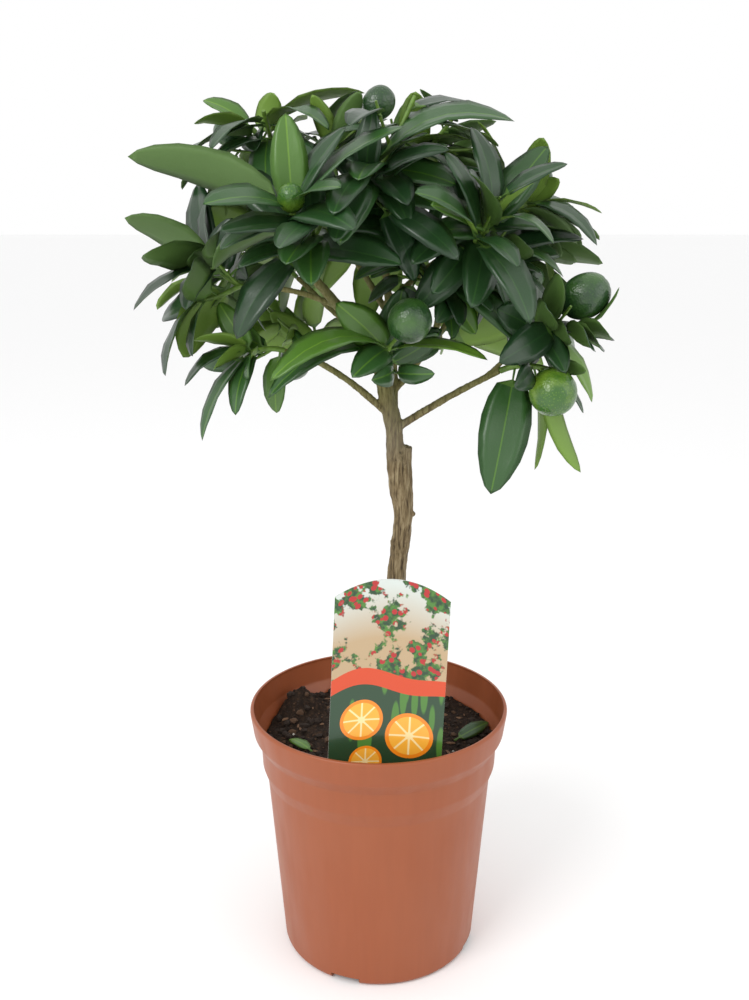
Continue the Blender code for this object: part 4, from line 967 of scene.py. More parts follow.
def tube_mesh(limb, sides, grow=0.0):
    """Corners and faces of a closed tube round a limb; grow widens it."""
    corners = []
    faces = []
    count = len(limb.points)
    across = None
    for index, (point, radius) in enumerate(zip(limb.points, limb.radii)):
        before = limb.points[max(index - 1, 0)]
        after = limb.points[min(index + 1, count - 1)]
        along = limb.foot_direction if index == 0 else (after - before).normalized()
        if across is None:
            across = along.cross(TUBE_SEAM).normalized()
        across = (across - along * across.dot(along)).normalized()
        other = along.cross(across)
        for side in range(sides):
            angle = math.tau * side / sides
            spoke = across * math.cos(angle) + other * math.sin(angle)
            corners.append(point + spoke * (radius + grow))
    for ring in range(count - 1):
        low, high = ring * sides, (ring + 1) * sides
        for side in range(sides):
            after = (side + 1) % sides
            faces.append((low + side, low + after, high + after, high + side))
    faces.append(tuple(reversed(range(sides))))
    faces.append(tuple(range((count - 1) * sides, count * sides)))
    return corners, faces


class Leaf:
    """A blade from its root in the twig to its tip, bowed towards the way its upper side faces."""

    def __init__(self, root, tip, width, arch, face, fold):
        self.root = root
        self.tip = tip
        self.width = width
        self.fold = fold
        chord = tip - root
        self.length = chord.length
        along = chord / self.length
        normal = (face - along * face.dot(along)).normalized()
        self.side = along.cross(normal)
        self.middle = (root + tip) / 2 + normal * 2 * arch

    def station(self, share):
        """Place, sideways direction and upward direction at a share of the length."""
        rest = 1 - share
        place = self.root * rest * rest + self.middle * 2 * share * rest + self.tip * share * share
        slope = (self.middle - self.root) * rest + (self.tip - self.middle) * share
        normal = self.side.cross(slope.normalized())
        return place, self.side, normal

    def half_width(self, share):
        """Half the blade's width: widest a little before its middle, round at both ends."""
        if share <= PETIOLE_SHARE:
            return PETIOLE_HALF_WIDTH
        blade_foot = PETIOLE_SHARE / 2
        blade = (share - blade_foot) / (1 - blade_foot)
        return self.width / 2 * math.sin(math.pi * blade ** LEAF_LEAN) ** LEAF_ROUNDNESS

    def ring(self, share, grow):
        """Left edge, upper rib, right edge and lower rib; the stalk has no upper rib."""
        thickness = self.length * LEAF_THICKNESS_SHARE / 2 + grow
        place, side, normal = self.station(share)
        half = self.half_width(share) + grow
        fold = self.fold if share > PETIOLE_SHARE else 0.0
        edge = side * half * math.cos(fold)
        rise = normal * half * math.sin(fold)
        corners = [place - edge + rise, place + edge + rise, place - normal * thickness]
        if share > PETIOLE_SHARE:
            corners.insert(1, place + normal * thickness)
        return corners

    def mesh(self, first=0, grow=0.0):
        """Corners and faces of the closed blade, from the root ring to the pointed tip."""
        rings = [self.ring(share, grow) for share in LEAF_SHARES[first:]]
        point = self.tip + (self.tip - self.middle).normalized() * grow
        corners = [corner for ring in rings for corner in ring] + [point]
        starts = [sum(len(ring) for ring in rings[:number]) for number in range(len(rings))]
        loops = [
            list(range(start, start + len(ring))) for start, ring in zip(starts, rings)
        ]
        faces = [tuple(reversed(loops[0]))]
        for low, high in zip(loops, loops[1:]):
            faces += joined_rings(low, high)
        last = loops[-1]
        for side, corner in enumerate(last):
            faces.append((corner, last[(side + 1) % len(last)], len(corners) - 1))
        return corners, faces


def joined_rings(low, high):
    """Faces between two rings; a ring of three may widen to a ring of four with an upper rib."""
    if len(low) == len(high):
        faces = []
        for side in range(len(low)):
            after = (side + 1) % len(low)
            faces.append((low[side], low[after], high[after]))
            faces.append((low[side], high[after], high[side]))
        return faces
    left, right, below = low
    far_left, above, far_right, far_below = high
    return [
        (left, right, above),
        (left, above, far_left),
        (right, far_right, above),
        (right, below, far_below),
        (right, far_below, far_right),
        (below, left, far_left),
        (below, far_left, far_below),
    ]


class Obstacle:
    """Something that a new twig or leaf must not touch."""

    def __init__(self, corners, faces):
        self.low, self.high = box_of(corners)
        self.tree = BVHTree.FromPolygons(corners, faces)

    def touches(self, other):
        for axis in range(3):
            if self.low[axis] > other.high[axis] or other.low[axis] > self.high[axis]:
                return False
        return bool(self.tree.overlap(other.tree))


def object_obstacle(thing):
    corners = [corner.co.copy() for corner in thing.data.vertices]
    return Obstacle(corners, [tuple(face.vertices) for face in thing.data.polygons])


class Mass:
    """One mass of foliage while it grows: its stem, twigs, fruit and leaves."""

    def __init__(self, name, plan, limbs):
        self.name = name
        self.plan = plan
        self.random = random.Random(plan["seed"])
        self.shoots = []
        self.leaves = []
        self.fruit = []
        self.solids = []
        self.blades = []
        self.grow_stem(limbs)
        self.centre = (self.shoots[0].points[0] + millimetres(plan["head"])) / 2
        self.reach = plan["reach"] * MM

    def grow_stem(self, limbs):
        """The stem goes on from its bough's tip, or leaves the trunk's front just below its tip."""
        limb = limbs[self.plan["limb"]]
        head = millimetres(self.plan["head"])
        foot, along, radius = limb.at(1.0)
        foot = foot + along * GAP
        foot_direction = along
        if self.plan["limb"] == "trunk":
            foot, along, _ = limb.at(TRUNK_STEM_SHARE)
            along = TRUNK_STEM_DIRECTION
            radius = TRUNK_STEM_RADIUS
            foot_direction = None
        middle = foot + along * (head - foot).length * STEM_SWEEP
        stem = curved_limb(foot, middle, head, radius, TWIG_RADIUS, STEM_STEPS, foot_direction)
        self.add_shoot(stem)

    def add_shoot(self, shoot):
        self.shoots.append(shoot)
        self.solids.append(Obstacle(*tube_mesh(shoot, TWIG_SIDES)))

    def inside(self, place):
        """Whether a tip keeps to the mass's own round space and the crown's dome, off the open fork."""
        from_middle = place - CROWN_MIDDLE
        dome = sum((from_middle[axis] / CROWN_REACH[axis]) ** 2 for axis in range(3))
        by_fork = place.z < OPEN_HEIGHT and place.xy.length < OPEN_RADIUS
        return dome <= 1 and not by_fork and (place - self.centre).length <= self.reach


def clear_of_others(corners, faces, mass, masses, wood):
    shape = Obstacle(corners, faces)
    if any(shape.touches(limb) for limb in wood):
        return False
    for other in masses:
        if other is not mass and any(shape.touches(solid) for solid in other.solids):
            return False
    return True


def place_leaf(leaf, mass, masses, wood):
    """Adds the leaf to its mass unless it would touch anything."""
    if not clear_of_others(*leaf.mesh(grow=CLEARANCE), mass, masses, wood):
        return False
    blade = Obstacle(*leaf.mesh(first=2))
    if any(blade.touches(other) for other in mass.blades):
        return False
    mass.leaves.append(leaf)
    mass.blades.append(blade)
    mass.solids.append(Obstacle(*leaf.mesh()))
    return True


def leaf_root(shoot, share, tip):
    """A leaf's root, sunk past the middle of its shoot."""
    middle, _, _ = shoot.at(min(share, LAST_ROOT_SHARE))
    return middle - (tip - middle).normalized() * ROOT_DEPTH


def spiral_direction(along, turn, tilt):
    """A direction tilted away from a shoot's own, turned round it."""
    across = along.cross(SPIRAL_SEAM).normalized()
    other = along.cross(across)
    spoke = across * math.cos(turn) + other * math.sin(turn)
    return (along * math.cos(tilt) + spoke * math.sin(tilt)).normalized()


def grow_lead_leaves(mass, masses, wood):
    for number, (share, tip, width, arch, face) in enumerate(mass.plan["lead"]):
        tip = millimetres(tip)
        root = leaf_root(mass.shoots[0], share - ROOT_SPACING * number, tip)
        fold = mass.random.uniform(*LEAF_FOLDS)
        leaf = Leaf(root, tip, width * MM, arch * MM, Vector(face), fold)
        place_leaf(leaf, mass, masses, wood)


def grow_twigs(mass, masses, wood):
    """Side twigs leave the stem in a spiral and bend upwards."""
    stem = mass.shoots[0]
    phase = mass.random.uniform(0, math.tau)
    count = mass.plan["twigs"]
    for number in range(count):
        root, along, _ = stem.at(TWIG_FIRST_SHARE + TWIG_SPREAD * number / max(count - 1, 1))
        for attempt in range(TRIES):
            turn = phase + GOLDEN_TURN * number + TRY_TURN * attempt
            direction = spiral_direction(along, turn, SPLIT_ANGLE)
            length = mass.plan["size"] * MM * mass.random.uniform(*TWIG_LENGTHS)
            tip = root + (direction + UP * TWIG_RISE) * length
            middle = root + direction * length / 2
            twig = curved_limb(root, middle, tip, TWIG_RADIUS, TWIG_TIP_RADIUS, TWIG_STEPS)
            shape = tube_mesh(twig, TWIG_SIDES, CLEARANCE)
            fits = mass.inside(tip) and clear_of_others(*shape, mass, masses, wood)
            if fits and not any(Obstacle(*shape).touches(blade) for blade in mass.blades):
                mass.add_shoot(twig)
                break


def grow_rule_leaves(mass, masses, wood):
    """Leaves leave every shoot in a spiral, flatter near its foot and steeper near its tip."""
    for shoot in mass.shoots:
        phase = mass.random.uniform(0, math.tau)
        count = mass.plan["leaves"]
        for number in range(count):
            part = number / max(count - 1, 1)
            share = LEAF_FIRST_SHARE + (1 - LEAF_FIRST_SHARE) * part
            middle, along, _ = shoot.at(share)
            tilt = LEAF_FOOT_TILT + (LEAF_HEAD_TILT - LEAF_FOOT_TILT) * part
            size = mass.plan["size"] * MM * mass.random.uniform(*LEAF_SIZES)
            fold = mass.random.uniform(*LEAF_FOLDS)
            arch = mass.random.uniform(*LEAF_ARCHES)
            for attempt in range(TRIES):
                turn = phase + GOLDEN_TURN * number + TRY_TURN * attempt
                direction = (spiral_direction(along, turn, tilt) - UP * LEAF_SINK).normalized()
                length = size * (1 - TRY_SHRINK * attempt)
                tip = middle + direction * length
                root = leaf_root(shoot, share, tip)
                outward = (tip - CROWN_MIDDLE).normalized()
                face = outward * LEAF_FACE_OUT + along * LEAF_FACE_ALONG + UP * LEAF_FACE_UP
                leaf = Leaf(root, tip, length * LEAF_PROPORTION, length * arch, face, fold)
                if mass.inside(tip) and place_leaf(leaf, mass, masses, wood):
                    break


def grow_fruit(mass):
    """Each fruit hangs or stands on a short stalk from the stem."""
    for share, centre, length, width in mass.plan["fruit"]:
        centre = millimetres(centre)
        root = leaf_root(mass.shoots[0], share, centre)
        axis = (centre - root).normalized()
        stalk = Limb([root, centre - axis * length * MM / 3], [STALK_RADIUS, STALK_RADIUS])
        mass.fruit.append((centre, axis, length * MM, width * MM, stalk))
        ball = Obstacle(*ball_mesh(centre, axis, length * MM, width * MM))
        mass.solids.append(ball)
        mass.blades.append(ball)
        mass.solids.append(Obstacle(*tube_mesh(stalk, STALK_SIDES)))


def ball_mesh(centre, axis, length, width):
    """An egg-shaped ball with its long axis along the given direction."""
    shape = bmesh.new()
    bmesh.ops.create_uvsphere(shape, u_segments=BALL_SEGMENTS, v_segments=BALL_RINGS, radius=0.5)
    turn = axis.normalized().to_track_quat("Z", "Y").to_matrix().to_4x4()
    shape.transform(Matrix.Translation(centre) @ turn @ Matrix.Diagonal((width, width, length, 1)))
    corners = [corner.co.copy() for corner in shape.verts]
    faces = [tuple(corner.index for corner in face.verts) for face in shape.faces]
    shape.free()
    return corners, faces


def trunk_limb():
    """The trunk's middle line."""
    rows = smooth_run(TRUNK_STATIONS, 2)
    points = [millimetres(row[:3]) for row in rows]
    points[0].z = SOIL_LEVEL + GAP
    return Limb(points, [row[3] * MM for row in rows])


def bough_limbs():
    """The middle lines of the trunk and of every bough, as the solids have them."""
    limbs = {"trunk": trunk_limb()}
    for name, (carrier, share, tip, bow, foot_radius, tip_radius) in BOUGHS.items():
        foot, along, _ = limbs[carrier].at(share)
        tip = millimetres(tip)
        on_tip = share == 1.0
        if on_tip:
            foot = foot + along * GAP
        middle = (foot + tip) / 2 + millimetres(bow)
        radii = (foot_radius * MM, tip_radius * MM)
        limbs[name] = curved_limb(foot, middle, tip, *radii, BOUGH_STEPS, along if on_tip else None)
    return limbs


def grow_finer(mass, masses, wood):
    """Carries every shoot on to thin twigs, and those to smaller leaves, inside the same reach."""
    seeded = random.Random(mass.plan["seed"] + FINE_SEED_SHIFT)
    for shoot in list(mass.shoots):
        phase = seeded.uniform(0, math.tau)
        for number in range(FINE_TWIGS):
            root, along, _ = shoot.at(FINE_TWIG_FIRST_SHARE + FINE_TWIG_SPACING * number)
            size = mass.plan["size"] * MM
            for attempt in range(TRIES):
                direction = spiral_direction(along, phase + GOLDEN_TURN * number + attempt, SPLIT_ANGLE)
                length = size * seeded.uniform(*FINE_TWIG_SIZES)
                tip = root + (direction + UP * TWIG_RISE / 2) * length
                middle = root + direction * length / 2
                radii = (FINE_TWIG_RADIUS, FINE_TWIG_TIP_RADIUS)
                twig = curved_limb(root, middle, tip, *radii, TWIG_STEPS)
                shape = tube_mesh(twig, TWIG_SIDES, CLEARANCE / 2)
                if not inner_space(mass, tip) or not clear_of_others(*shape, mass, masses, wood):
                    continue
                if any(Obstacle(*shape).touches(blade) for blade in mass.blades):
                    continue
                mass.add_shoot(twig)
                break
    for shoot in mass.shoots:
        grow_small_leaves(mass, masses, wood, shoot, seeded)


def inner_space(mass, tip):
    """Whether a fine shoot's or leaf's tip stays inside the mass's outline."""
    return mass.inside(tip) and (tip - mass.centre).length <= mass.reach * FINE_LEAF_SPACE


def grow_small_leaves(mass, masses, wood, shoot, seeded):
    """A few smaller leaves in a spiral, wherever the shoot still has room for them."""
    phase = seeded.uniform(0, math.tau)
    for number in range(FINE_LEAVES):
        part = number / (FINE_LEAVES - 1)
        share = FINE_LEAF_FIRST_SHARE + (1 - FINE_LEAF_FIRST_SHARE) * part
        middle, along, _ = shoot.at(share)
        tilt = LEAF_FOOT_TILT + (LEAF_HEAD_TILT - LEAF_FOOT_TILT) * part
        size = mass.plan["size"] * MM * seeded.uniform(*FINE_LEAF_SIZES)
        fold = seeded.uniform(*LEAF_FOLDS)
        arch = seeded.uniform(*LEAF_ARCHES)
        for attempt in range(TRIES):
            turn = phase + GOLDEN_TURN * number + TRY_TURN * attempt
            direction = (spiral_direction(along, turn, tilt) - UP * LEAF_SINK).normalized()
            length = size * (1 - TRY_SHRINK * attempt)
            tip = middle + direction * length
            root = leaf_root(shoot, share, tip)
            outward = (tip - CROWN_MIDDLE).normalized()
            face = outward * LEAF_FACE_OUT + along * LEAF_FACE_ALONG + UP * LEAF_FACE_UP
            leaf = Leaf(root, tip, length * LEAF_PROPORTION, length * arch, face, fold)
            if inner_space(mass, tip) and place_leaf(leaf, mass, masses, wood):
                break


@functools.lru_cache(maxsize=None)
def grown_crown():
    """Every mass, grown once, with its limbs: the solids' own leaves first, then the finer ones."""
    limbs = bough_limbs()
    wood = [object_obstacle(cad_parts[name]) for name in ["trunk", *BOUGHS]]
    masses = [Mass(name, plan, limbs) for name, plan in MASSES.items()]
    for mass in masses:
        grow_fruit(mass)
    for step in (grow_lead_leaves, grow_twigs, grow_rule_leaves):
        for mass in masses:
            step(mass, masses, wood)
    for mass in masses:
        grow_finer(mass, masses, wood)
    return limbs, masses


# Pot


def eased(profile, reach):
    """The (radius, height) profile with each inner corner cut back and rounded."""
    result = [profile[0]]
    for before, corner, after in zip(profile, profile[1:], profile[2:]):
        before, corner, after = Vector(before), Vector(corner), Vector(after)
        into, out = before - corner, after - corner
        cut = min(reach, into.length * LONGEST_CUT, out.length * LONGEST_CUT)
        start = corner + into.normalized() * cut
        end = corner + out.normalized() * cut
        for share in CORNER_STEPS:
            rest = 1 - share
            result.append(tuple(start * rest * rest + corner * 2 * share * rest + end * share * share))
    result.append(profile[-1])
    return result


def pot_profile():
    """From the underside up the outer wall, over the rim and down inside to the floor."""
    outer = [
        (POT_FOOT_RADIUS - FOOT_EDGE, 0.0),
        (POT_FOOT_RADIUS - FOOT_EDGE / 3, FOOT_EDGE / 3),
        (POT_FOOT_RADIUS, FOOT_EDGE),
        (BODY_TOP_RADIUS, BODY_TOP_HEIGHT),
        (BAND_FOOT_RADIUS, BAND_FOOT_HEIGHT),
        (BAND_TOP_RADIUS, BAND_TOP_HEIGHT),
        (COLLAR_FOOT_RADIUS, COLLAR_FOOT_HEIGHT),
        (POT_RIM_RADIUS, POT_HEIGHT - RIM_EDGE),
        (POT_RIM_RADIUS - RIM_EDGE / 2, POT_HEIGHT),
    ]
    inner = [(radius - POT_WALL, height) for radius, height in reversed(outer[2:8])]
    foot_radius = inner[-1][0]
    inner[-1] = (foot_radius, POT_FLOOR + FOOT_EDGE)
    lip = [(POT_RIM_RADIUS - RIM_EDGE / 2 - POT_WALL, POT_HEIGHT)]
    return outer + lip + inner + [(foot_radius - FOOT_EDGE, POT_FLOOR)]


def add_turned(name, profile, sides):
    """A disc extruded and widened ring by ring along the profile."""
    radius, height = profile[0]
    deselect_all()
    bpy.ops.mesh.primitive_circle_add(
        vertices=sides, radius=radius, fill_type="NGON", location=(0, 0, height)
    )
    thing = bpy.context.object
    thing.name = name
    bpy.ops.object.mode_set(mode="EDIT")
    bpy.ops.mesh.select_all(action="SELECT")
    for next_radius, next_height in profile[1:]:
        bpy.ops.mesh.extrude_region_move(TRANSFORM_OT_translate={"value": (0, 0, next_height - height)})
        share = next_radius / radius
        bpy.ops.transform.resize(value=(share, share, 1), center_override=(0, 0, next_height))
        radius, height = next_radius, next_height
    bpy.ops.mesh.select_all(action="SELECT")
    bpy.ops.mesh.normals_make_consistent(inside=False)
    bpy.ops.object.mode_set(mode="OBJECT")
    settle_place(thing)
    return thing


def add_cutter(angle):
    """A block across the pot's foot, for one drainage notch."""
    middle = DRAIN_SLOT_INNER_RADIUS + DRAIN_SLOT_LENGTH / 2
    deselect_all()
    bpy.ops.mesh.primitive_cube_add(
        size=1,
        location=(middle * math.cos(angle), middle * math.sin(angle), 0),
        rotation=(0, 0, angle),
        scale=(DRAIN_SLOT_LENGTH, DRAIN_SLOT_WIDTH, 2 * DRAIN_SLOT_HEIGHT),
    )
    return bpy.context.object


def make_pot(settings):
    """The pot, with its drainage notches cut one after another."""
    pot = add_turned("nursery_pot", eased(pot_profile(), settings.rounding), settings.sides)
    for number in range(DRAIN_SLOTS):
        cutter = add_cutter(FIRST_SLOT_ANGLE + math.tau * number / DRAIN_SLOTS)
        cut = pot.modifiers.new("notch", "BOOLEAN")
        cut.operation = "DIFFERENCE"
        cut.object = cutter
        cut.solver = "EXACT"
        apply_modifiers(pot)
        bpy.data.objects.remove(cutter, do_unlink=True)
    shade(pot, POT_SMOOTH)
    pot.data.materials.clear()
    pot.data.materials.append(plastic_material(settings))
    hand_in(pot, "pot", "pot")


# Soil


def soil_height(x, y, roughness):
    """The soil's surface: waves of three sizes, and one clod at the back left."""
    place = Vector((x, y, 0))
    lumps = sum(noise.noise(place * pace) * share for pace, share in SOIL_WAVES)
    clod_share = math.exp(-((place - CLOD_PLACE).length / CLOD_RADIUS) ** 2)
    broken = 1 + CLOD_BROKEN * noise.noise(place * CLOD_WAVES)
    return SOIL_LEVEL + roughness / 2 * lumps + CLOD_HEIGHT * clod_share * broken


def make_soil(settings):
    """The soil, turned in rings whose top corners are then raised and lowered."""
    foot = POT_FOOT_RADIUS - POT_WALL - GAP
    profile = [
        (foot - FOOT_EDGE, SOIL_LOW.z),
        (foot, SOIL_LOW.z + FOOT_EDGE),
        (SOIL_RADIUS, SOIL_LEVEL - SOIL_SHOULDER),
    ]
    profile += [(SOIL_RADIUS * (1 - ring / SOIL_RINGS), SOIL_LEVEL) for ring in range(SOIL_RINGS)]
    soil = add_turned("potting_soil", profile, SOIL_SIDES)
    for corner in soil.data.vertices:
        if corner.co.z > SOIL_LEVEL - MM:
            corner.co.z = soil_height(corner.co.x, corner.co.y, settings.roughness)
    shade(soil)
    soil.data.materials.clear()
    soil.data.materials.append(soil_material(settings))
    hand_in(soil, "soil", "soil")


def on_soil(x, y, settings, lift):
    """A place a little above the soil's surface."""
    return Vector((x, y, soil_height(x, y, settings.roughness) + lift))


def scattered(count, seed, reach):
    """Seeded places on the soil, up to a share of its radius."""
    seeded = random.Random(seed)
    for _ in range(count):
        distance = SOIL_RADIUS * reach * math.sqrt(seeded.random())
        angle = seeded.uniform(0, math.tau)
        yield seeded, distance * math.cos(angle), distance * math.sin(angle)


def pebble(place, size, stretch, seeded):
    """A rough little lump of twenty faces."""
    shape = bmesh.new()
    bmesh.ops.create_icosphere(shape, subdivisions=1, radius=0.5)
    turn = Matrix.Rotation(seeded.uniform(0, math.tau), 4, "Z")
    turn = turn @ Matrix.Rotation(seeded.uniform(-PEBBLE_LEAN, PEBBLE_LEAN), 4, "X")
    for corner in shape.verts:
        corner.co *= seeded.uniform(*PEBBLE_UNEVENNESS)
    sizes = [size * part for part in stretch]
    shape.transform(Matrix.Translation(place) @ turn @ Matrix.Diagonal((*sizes, 1)))
    corners = [corner.co.copy() for corner in shape.verts]
    faces = [tuple(corner.index for corner in face.verts) for face in shape.faces]
    shape.free()
    return corners, faces


def joined(parts):
    """Corners, faces and slots of many (corners, faces, slots) parts in one mesh."""
    corners, faces, slots = [], [], []
    for part_corners, part_faces, part_slots in parts:
        start = len(corners)
        corners += part_corners
        faces += [tuple(start + corner for corner in face) for face in part_faces]
        slots += part_slots
    return corners, faces, slots


def make_crumbs(settings):
    """Crumbs, flat bark chips and pale grains, joined in one piece."""
    parts = []
    for seeded, x, y in scattered(settings.crumbs, CRUMB_SEED, CRUMB_REACH):
        size = settings.crumb_size * (CRUMB_LEAST + CRUMB_MORE * seeded.random() ** CRUMB_RARITY)
        place = on_soil(x, y, settings, size * CRUMB_LIFT)
        stretch = (1, seeded.uniform(*CRUMB_WIDTHS), seeded.uniform(*CRUMB_HEIGHTS))
        lump = pebble(place, size, stretch, seeded)
        parts.append((*lump, [seeded.choice((0, 0, 1))] * len(lump[1])))
    for seeded, x, y in scattered(settings.chips, CHIP_SEED, CHIP_REACH):
        size = seeded.uniform(*CHIP_LENGTHS)
        place = on_soil(x, y, settings, CHIP_LIFT)
        chip = pebble(place, size, (1, seeded.uniform(*CHIP_WIDTHS), CHIP_FLATNESS), seeded)
        parts.append((*chip, [2] * len(chip[1])))
    for seeded, x, y in scattered(settings.grit, GRIT_SEED, CHIP_REACH):
        size = seeded.uniform(*GRIT_SIZES)
        grain = pebble(on_soil(x, y, settings, size * GRIT_LIFT), size, GRIT_STRETCH, seeded)
        parts.append((*grain, [3] * len(grain[1])))
    corners, faces, slots = joined(parts)
    materials = (
        Nodes("dark_crumb", settings.colour, 0.9).material,
        Nodes("dry_crumb", settings.crumb_colour, 0.95).material,
        Nodes("bark_chip", settings.chip_colour, 0.85).material,
        Nodes("pale_grit", settings.grit_colour, 0.8).material,
    )
    for material, grain in zip(materials, (0.0006, 0.0006, 0.0012, 0.0005)):
        add_grain(material, grain)
    crumbs = add_mesh("soil_crumbs", corners, faces, slots, materials)
    hand_in(crumbs, "soil")


def add_grain(material, size):
    """Roughens a plain material with a fine grain in its surface."""
    tree = material.node_tree
    shader = tree.nodes["Principled BSDF"]
    place = tree.nodes.new("ShaderNodeTexCoord")
    texture = tree.nodes.new("ShaderNodeTexNoise")
    texture.inputs["Scale"].default_value = 1 / size
    relief = tree.nodes.new("ShaderNodeBump")
    relief.inputs["Distance"].default_value = size / 2
    tree.links.new(place.outputs["Object"], texture.inputs["Vector"])
    tree.links.new(texture.outputs["Fac"], relief.inputs["Height"])
    tree.links.new(relief.outputs["Normal"], shader.inputs["Normal"])


def make_litter(settings, leaf_settings):
    """The few fallen leaves on the soil, lying a little curled."""
    parts = []
    seeded = random.Random(LITTER_SEED)
    for root, tip, width, tint, lean in LITTER:
        root = on_soil(*root, settings, LITTER_LIFT)
        tip = on_soil(*tip, settings, LITTER_LIFT)
        leaf = Leaf(root, tip, width, LITTER_ARCH, Vector((lean, -0.3, 1)), LEAF_FOLDS[0])
        corners, faces = fine_leaf(leaf, leaf_settings, seeded)
        parts.append((corners, faces, leaf_slots(tint, FRESH_UNDERSIDE_SLOT)))
    corners, faces, slots = joined(parts)
    litter = add_mesh("fallen_leaves", corners, faces, slots, leaf_materials(leaf_settings, "fallen"))
    shade(litter)
    hand_in(litter, "leaf")


# Label


def label_place(x, z, settings):
    """A point of the card's middle sheet in the pot's frame; x across from its middle, z up."""
    bend = LABEL_CURVE * (x / LABEL_WIDTH * 2) ** 2
    out_share = max(0.0, (-x / LABEL_WIDTH * 2 - CURL_FROM) / CURL_RUN)
    corner_share = out_share * max(0.0, 1 - z / CURL_HEIGHT)
    place = Vector((x, -bend - settings.curl * corner_share ** CURL_POWER, z))
    turn = Matrix.Rotation(LABEL_TILT, 4, "Y") @ Matrix.Rotation(LABEL_LEAN, 4, "X")
    return LABEL_FOOT + turn @ place


def make_label(settings):
    """A grid bent to the card's arched outline and thickened, printed on its front."""
    deselect_all()
    bpy.ops.mesh.primitive_grid_add(x_subdivisions=LABEL_COLUMNS, y_subdivisions=LABEL_ROWS, size=1)
    card = bpy.context.object
    card.name = "picture_label"
    layer = card.data.uv_layers[0].data
    spots = [corner.co.copy() for corner in card.data.vertices]
    for corner, spot in zip(card.data.vertices, spots):
        x = spot.x * LABEL_WIDTH
        head = LABEL_HEIGHT - LABEL_ARCH * (spot.x * 2) ** 2
        foot = x * math.tan(LABEL_TILT)
        corner.co = label_place(x, foot + (head - foot) * (spot.y + 0.5), settings)
    for loop in card.data.loops:
        spot = spots[loop.vertex_index]
        layer[loop.index].uv = (spot.x + 0.5, spot.y + 0.5)
    card.data.materials.append(print_material(settings))
    card.data.materials.append(Nodes("card_back", CARD_BACK_COLOUR, 0.4).material)
    thick = card.modifiers.new("card", "SOLIDIFY")
    thick.thickness = LABEL_THICKNESS
    thick.offset = 0
    apply_modifiers(card)
    for face in card.data.polygons:
        face.material_index = 0 if -face.normal.y > 0.5 else 1
    shade(card, LABEL_SMOOTH)
    add_grain(card.data.materials[1], 0.0008)
    hand_in(card, "label", "plant_label")


def print_material(settings):
    """A generic print: flowering shrubs on a pale ground, a wavy band, and sliced fruit on dark green."""
    nodes = Nodes("printed_card", settings.cream, 0.28, Specular_IOR_Level=0.5, Coat_Weight=0.3)
    card = nodes.add("ShaderNodeSeparateXYZ")
    nodes.link(nodes.coordinates(source="UV"), card.inputs[0])
    x = nodes.maths("MULTIPLY", card.outputs["X"], LABEL_WIDTH / MM)
    z = nodes.maths("MULTIPLY", card.outputs["Y"], LABEL_HEIGHT / MM)
    sky_share = nodes.ramp(card.outputs["Y"], (0.72, 0.0), (0.98, 0.85))
    upper = nodes.mix(sky_share, settings.cream, settings.sky)
    shrubs = nodes.ramp(nodes.noise(0.016, (1, 1, 1), 4, 0.6), (0.50, 0.0), (0.53, 1.0))
    shades = nodes.ramp(nodes.noise(0.003, (1, 1, 1), 3), (0.42, settings.ground), (0.60, settings.leaf))
    upper = nodes.mix(shrubs, upper, shades)
    dots = nodes.ramp(nodes.cells(BLOSSOM_SIZE, CARD_STRETCH, "UV"), (0.34, 1.0), (0.40, 0.0))
    upper = nodes.mix(nodes.maths("MULTIPLY", dots, shrubs), upper, settings.red)
    streaks = nodes.cells(BLADE_SIZE, BLADE_STRETCH, "UV")
    lower = nodes.mix(nodes.ramp(streaks, (0.34, 1.0), (0.40, 0.0)), settings.ground, settings.leaf)
    for middle_x, middle_z, radius in SLICES:
        lower = slice_print(nodes, settings, lower, x, z, middle_x, middle_z, radius)
    sway = nodes.maths("SINE", nodes.maths("MULTIPLY", x, BAND_WAVE_PACE))
    level = nodes.maths("SUBTRACT", z, nodes.maths("MULTIPLY", sway, BAND_WAVE))
    picture = nodes.mix(nodes.maths("GREATER_THAN", level, BAND_LEVEL), lower, upper)
    off_band = nodes.maths("ABSOLUTE", nodes.maths("SUBTRACT", level, BAND_LEVEL))
    on_band = nodes.maths("LESS_THAN", off_band, BAND_HALF_WIDTH)
    nodes.colour(nodes.mix(on_band, picture, settings.band))
    return nodes.material


def slice_print(nodes, settings, ground, x, z, middle_x, middle_z, radius):
    """A round slice with its segments and rind, printed over the ground."""
    off_x = nodes.maths("SUBTRACT", x, middle_x)
    off_z = nodes.maths("SUBTRACT", z, middle_z)
    squares = nodes.maths("ADD", nodes.maths("POWER", off_x, 2.0), nodes.maths("POWER", off_z, 2.0))
    distance = nodes.maths("SQRT", squares)
    angle = nodes.maths("ARCTAN2", off_z, off_x)
    spokes = nodes.maths("ABSOLUTE", nodes.maths("SINE", nodes.maths("MULTIPLY", angle, HALF_SEGMENTS)))
    between = nodes.maths("LESS_THAN", nodes.maths("MULTIPLY", spokes, distance), radius * PITH_WIDTH)
    whole = nodes.maths("LESS_THAN", distance, radius)
    inner = nodes.maths("LESS_THAN", distance, radius * PULP_SHARE)
    wheel = nodes.mix(between, settings.pulp, settings.pith)
    faced = nodes.mix(inner, settings.rind, wheel)
    return nodes.mix(whole, ground, faced)


# Wood


def smoothed_limb(limb, steps):
    """The limb with extra points on a smooth curve through its own."""
    rows = smooth_run([(*point, radius) for point, radius in zip(limb.points, limb.radii)], steps)
    return Limb([Vector(row[:3]) for row in rows], [row[3] for row in rows])


def ring_tube(limb, sides, steps):
    return tube_mesh(smoothed_limb(limb, steps), sides)


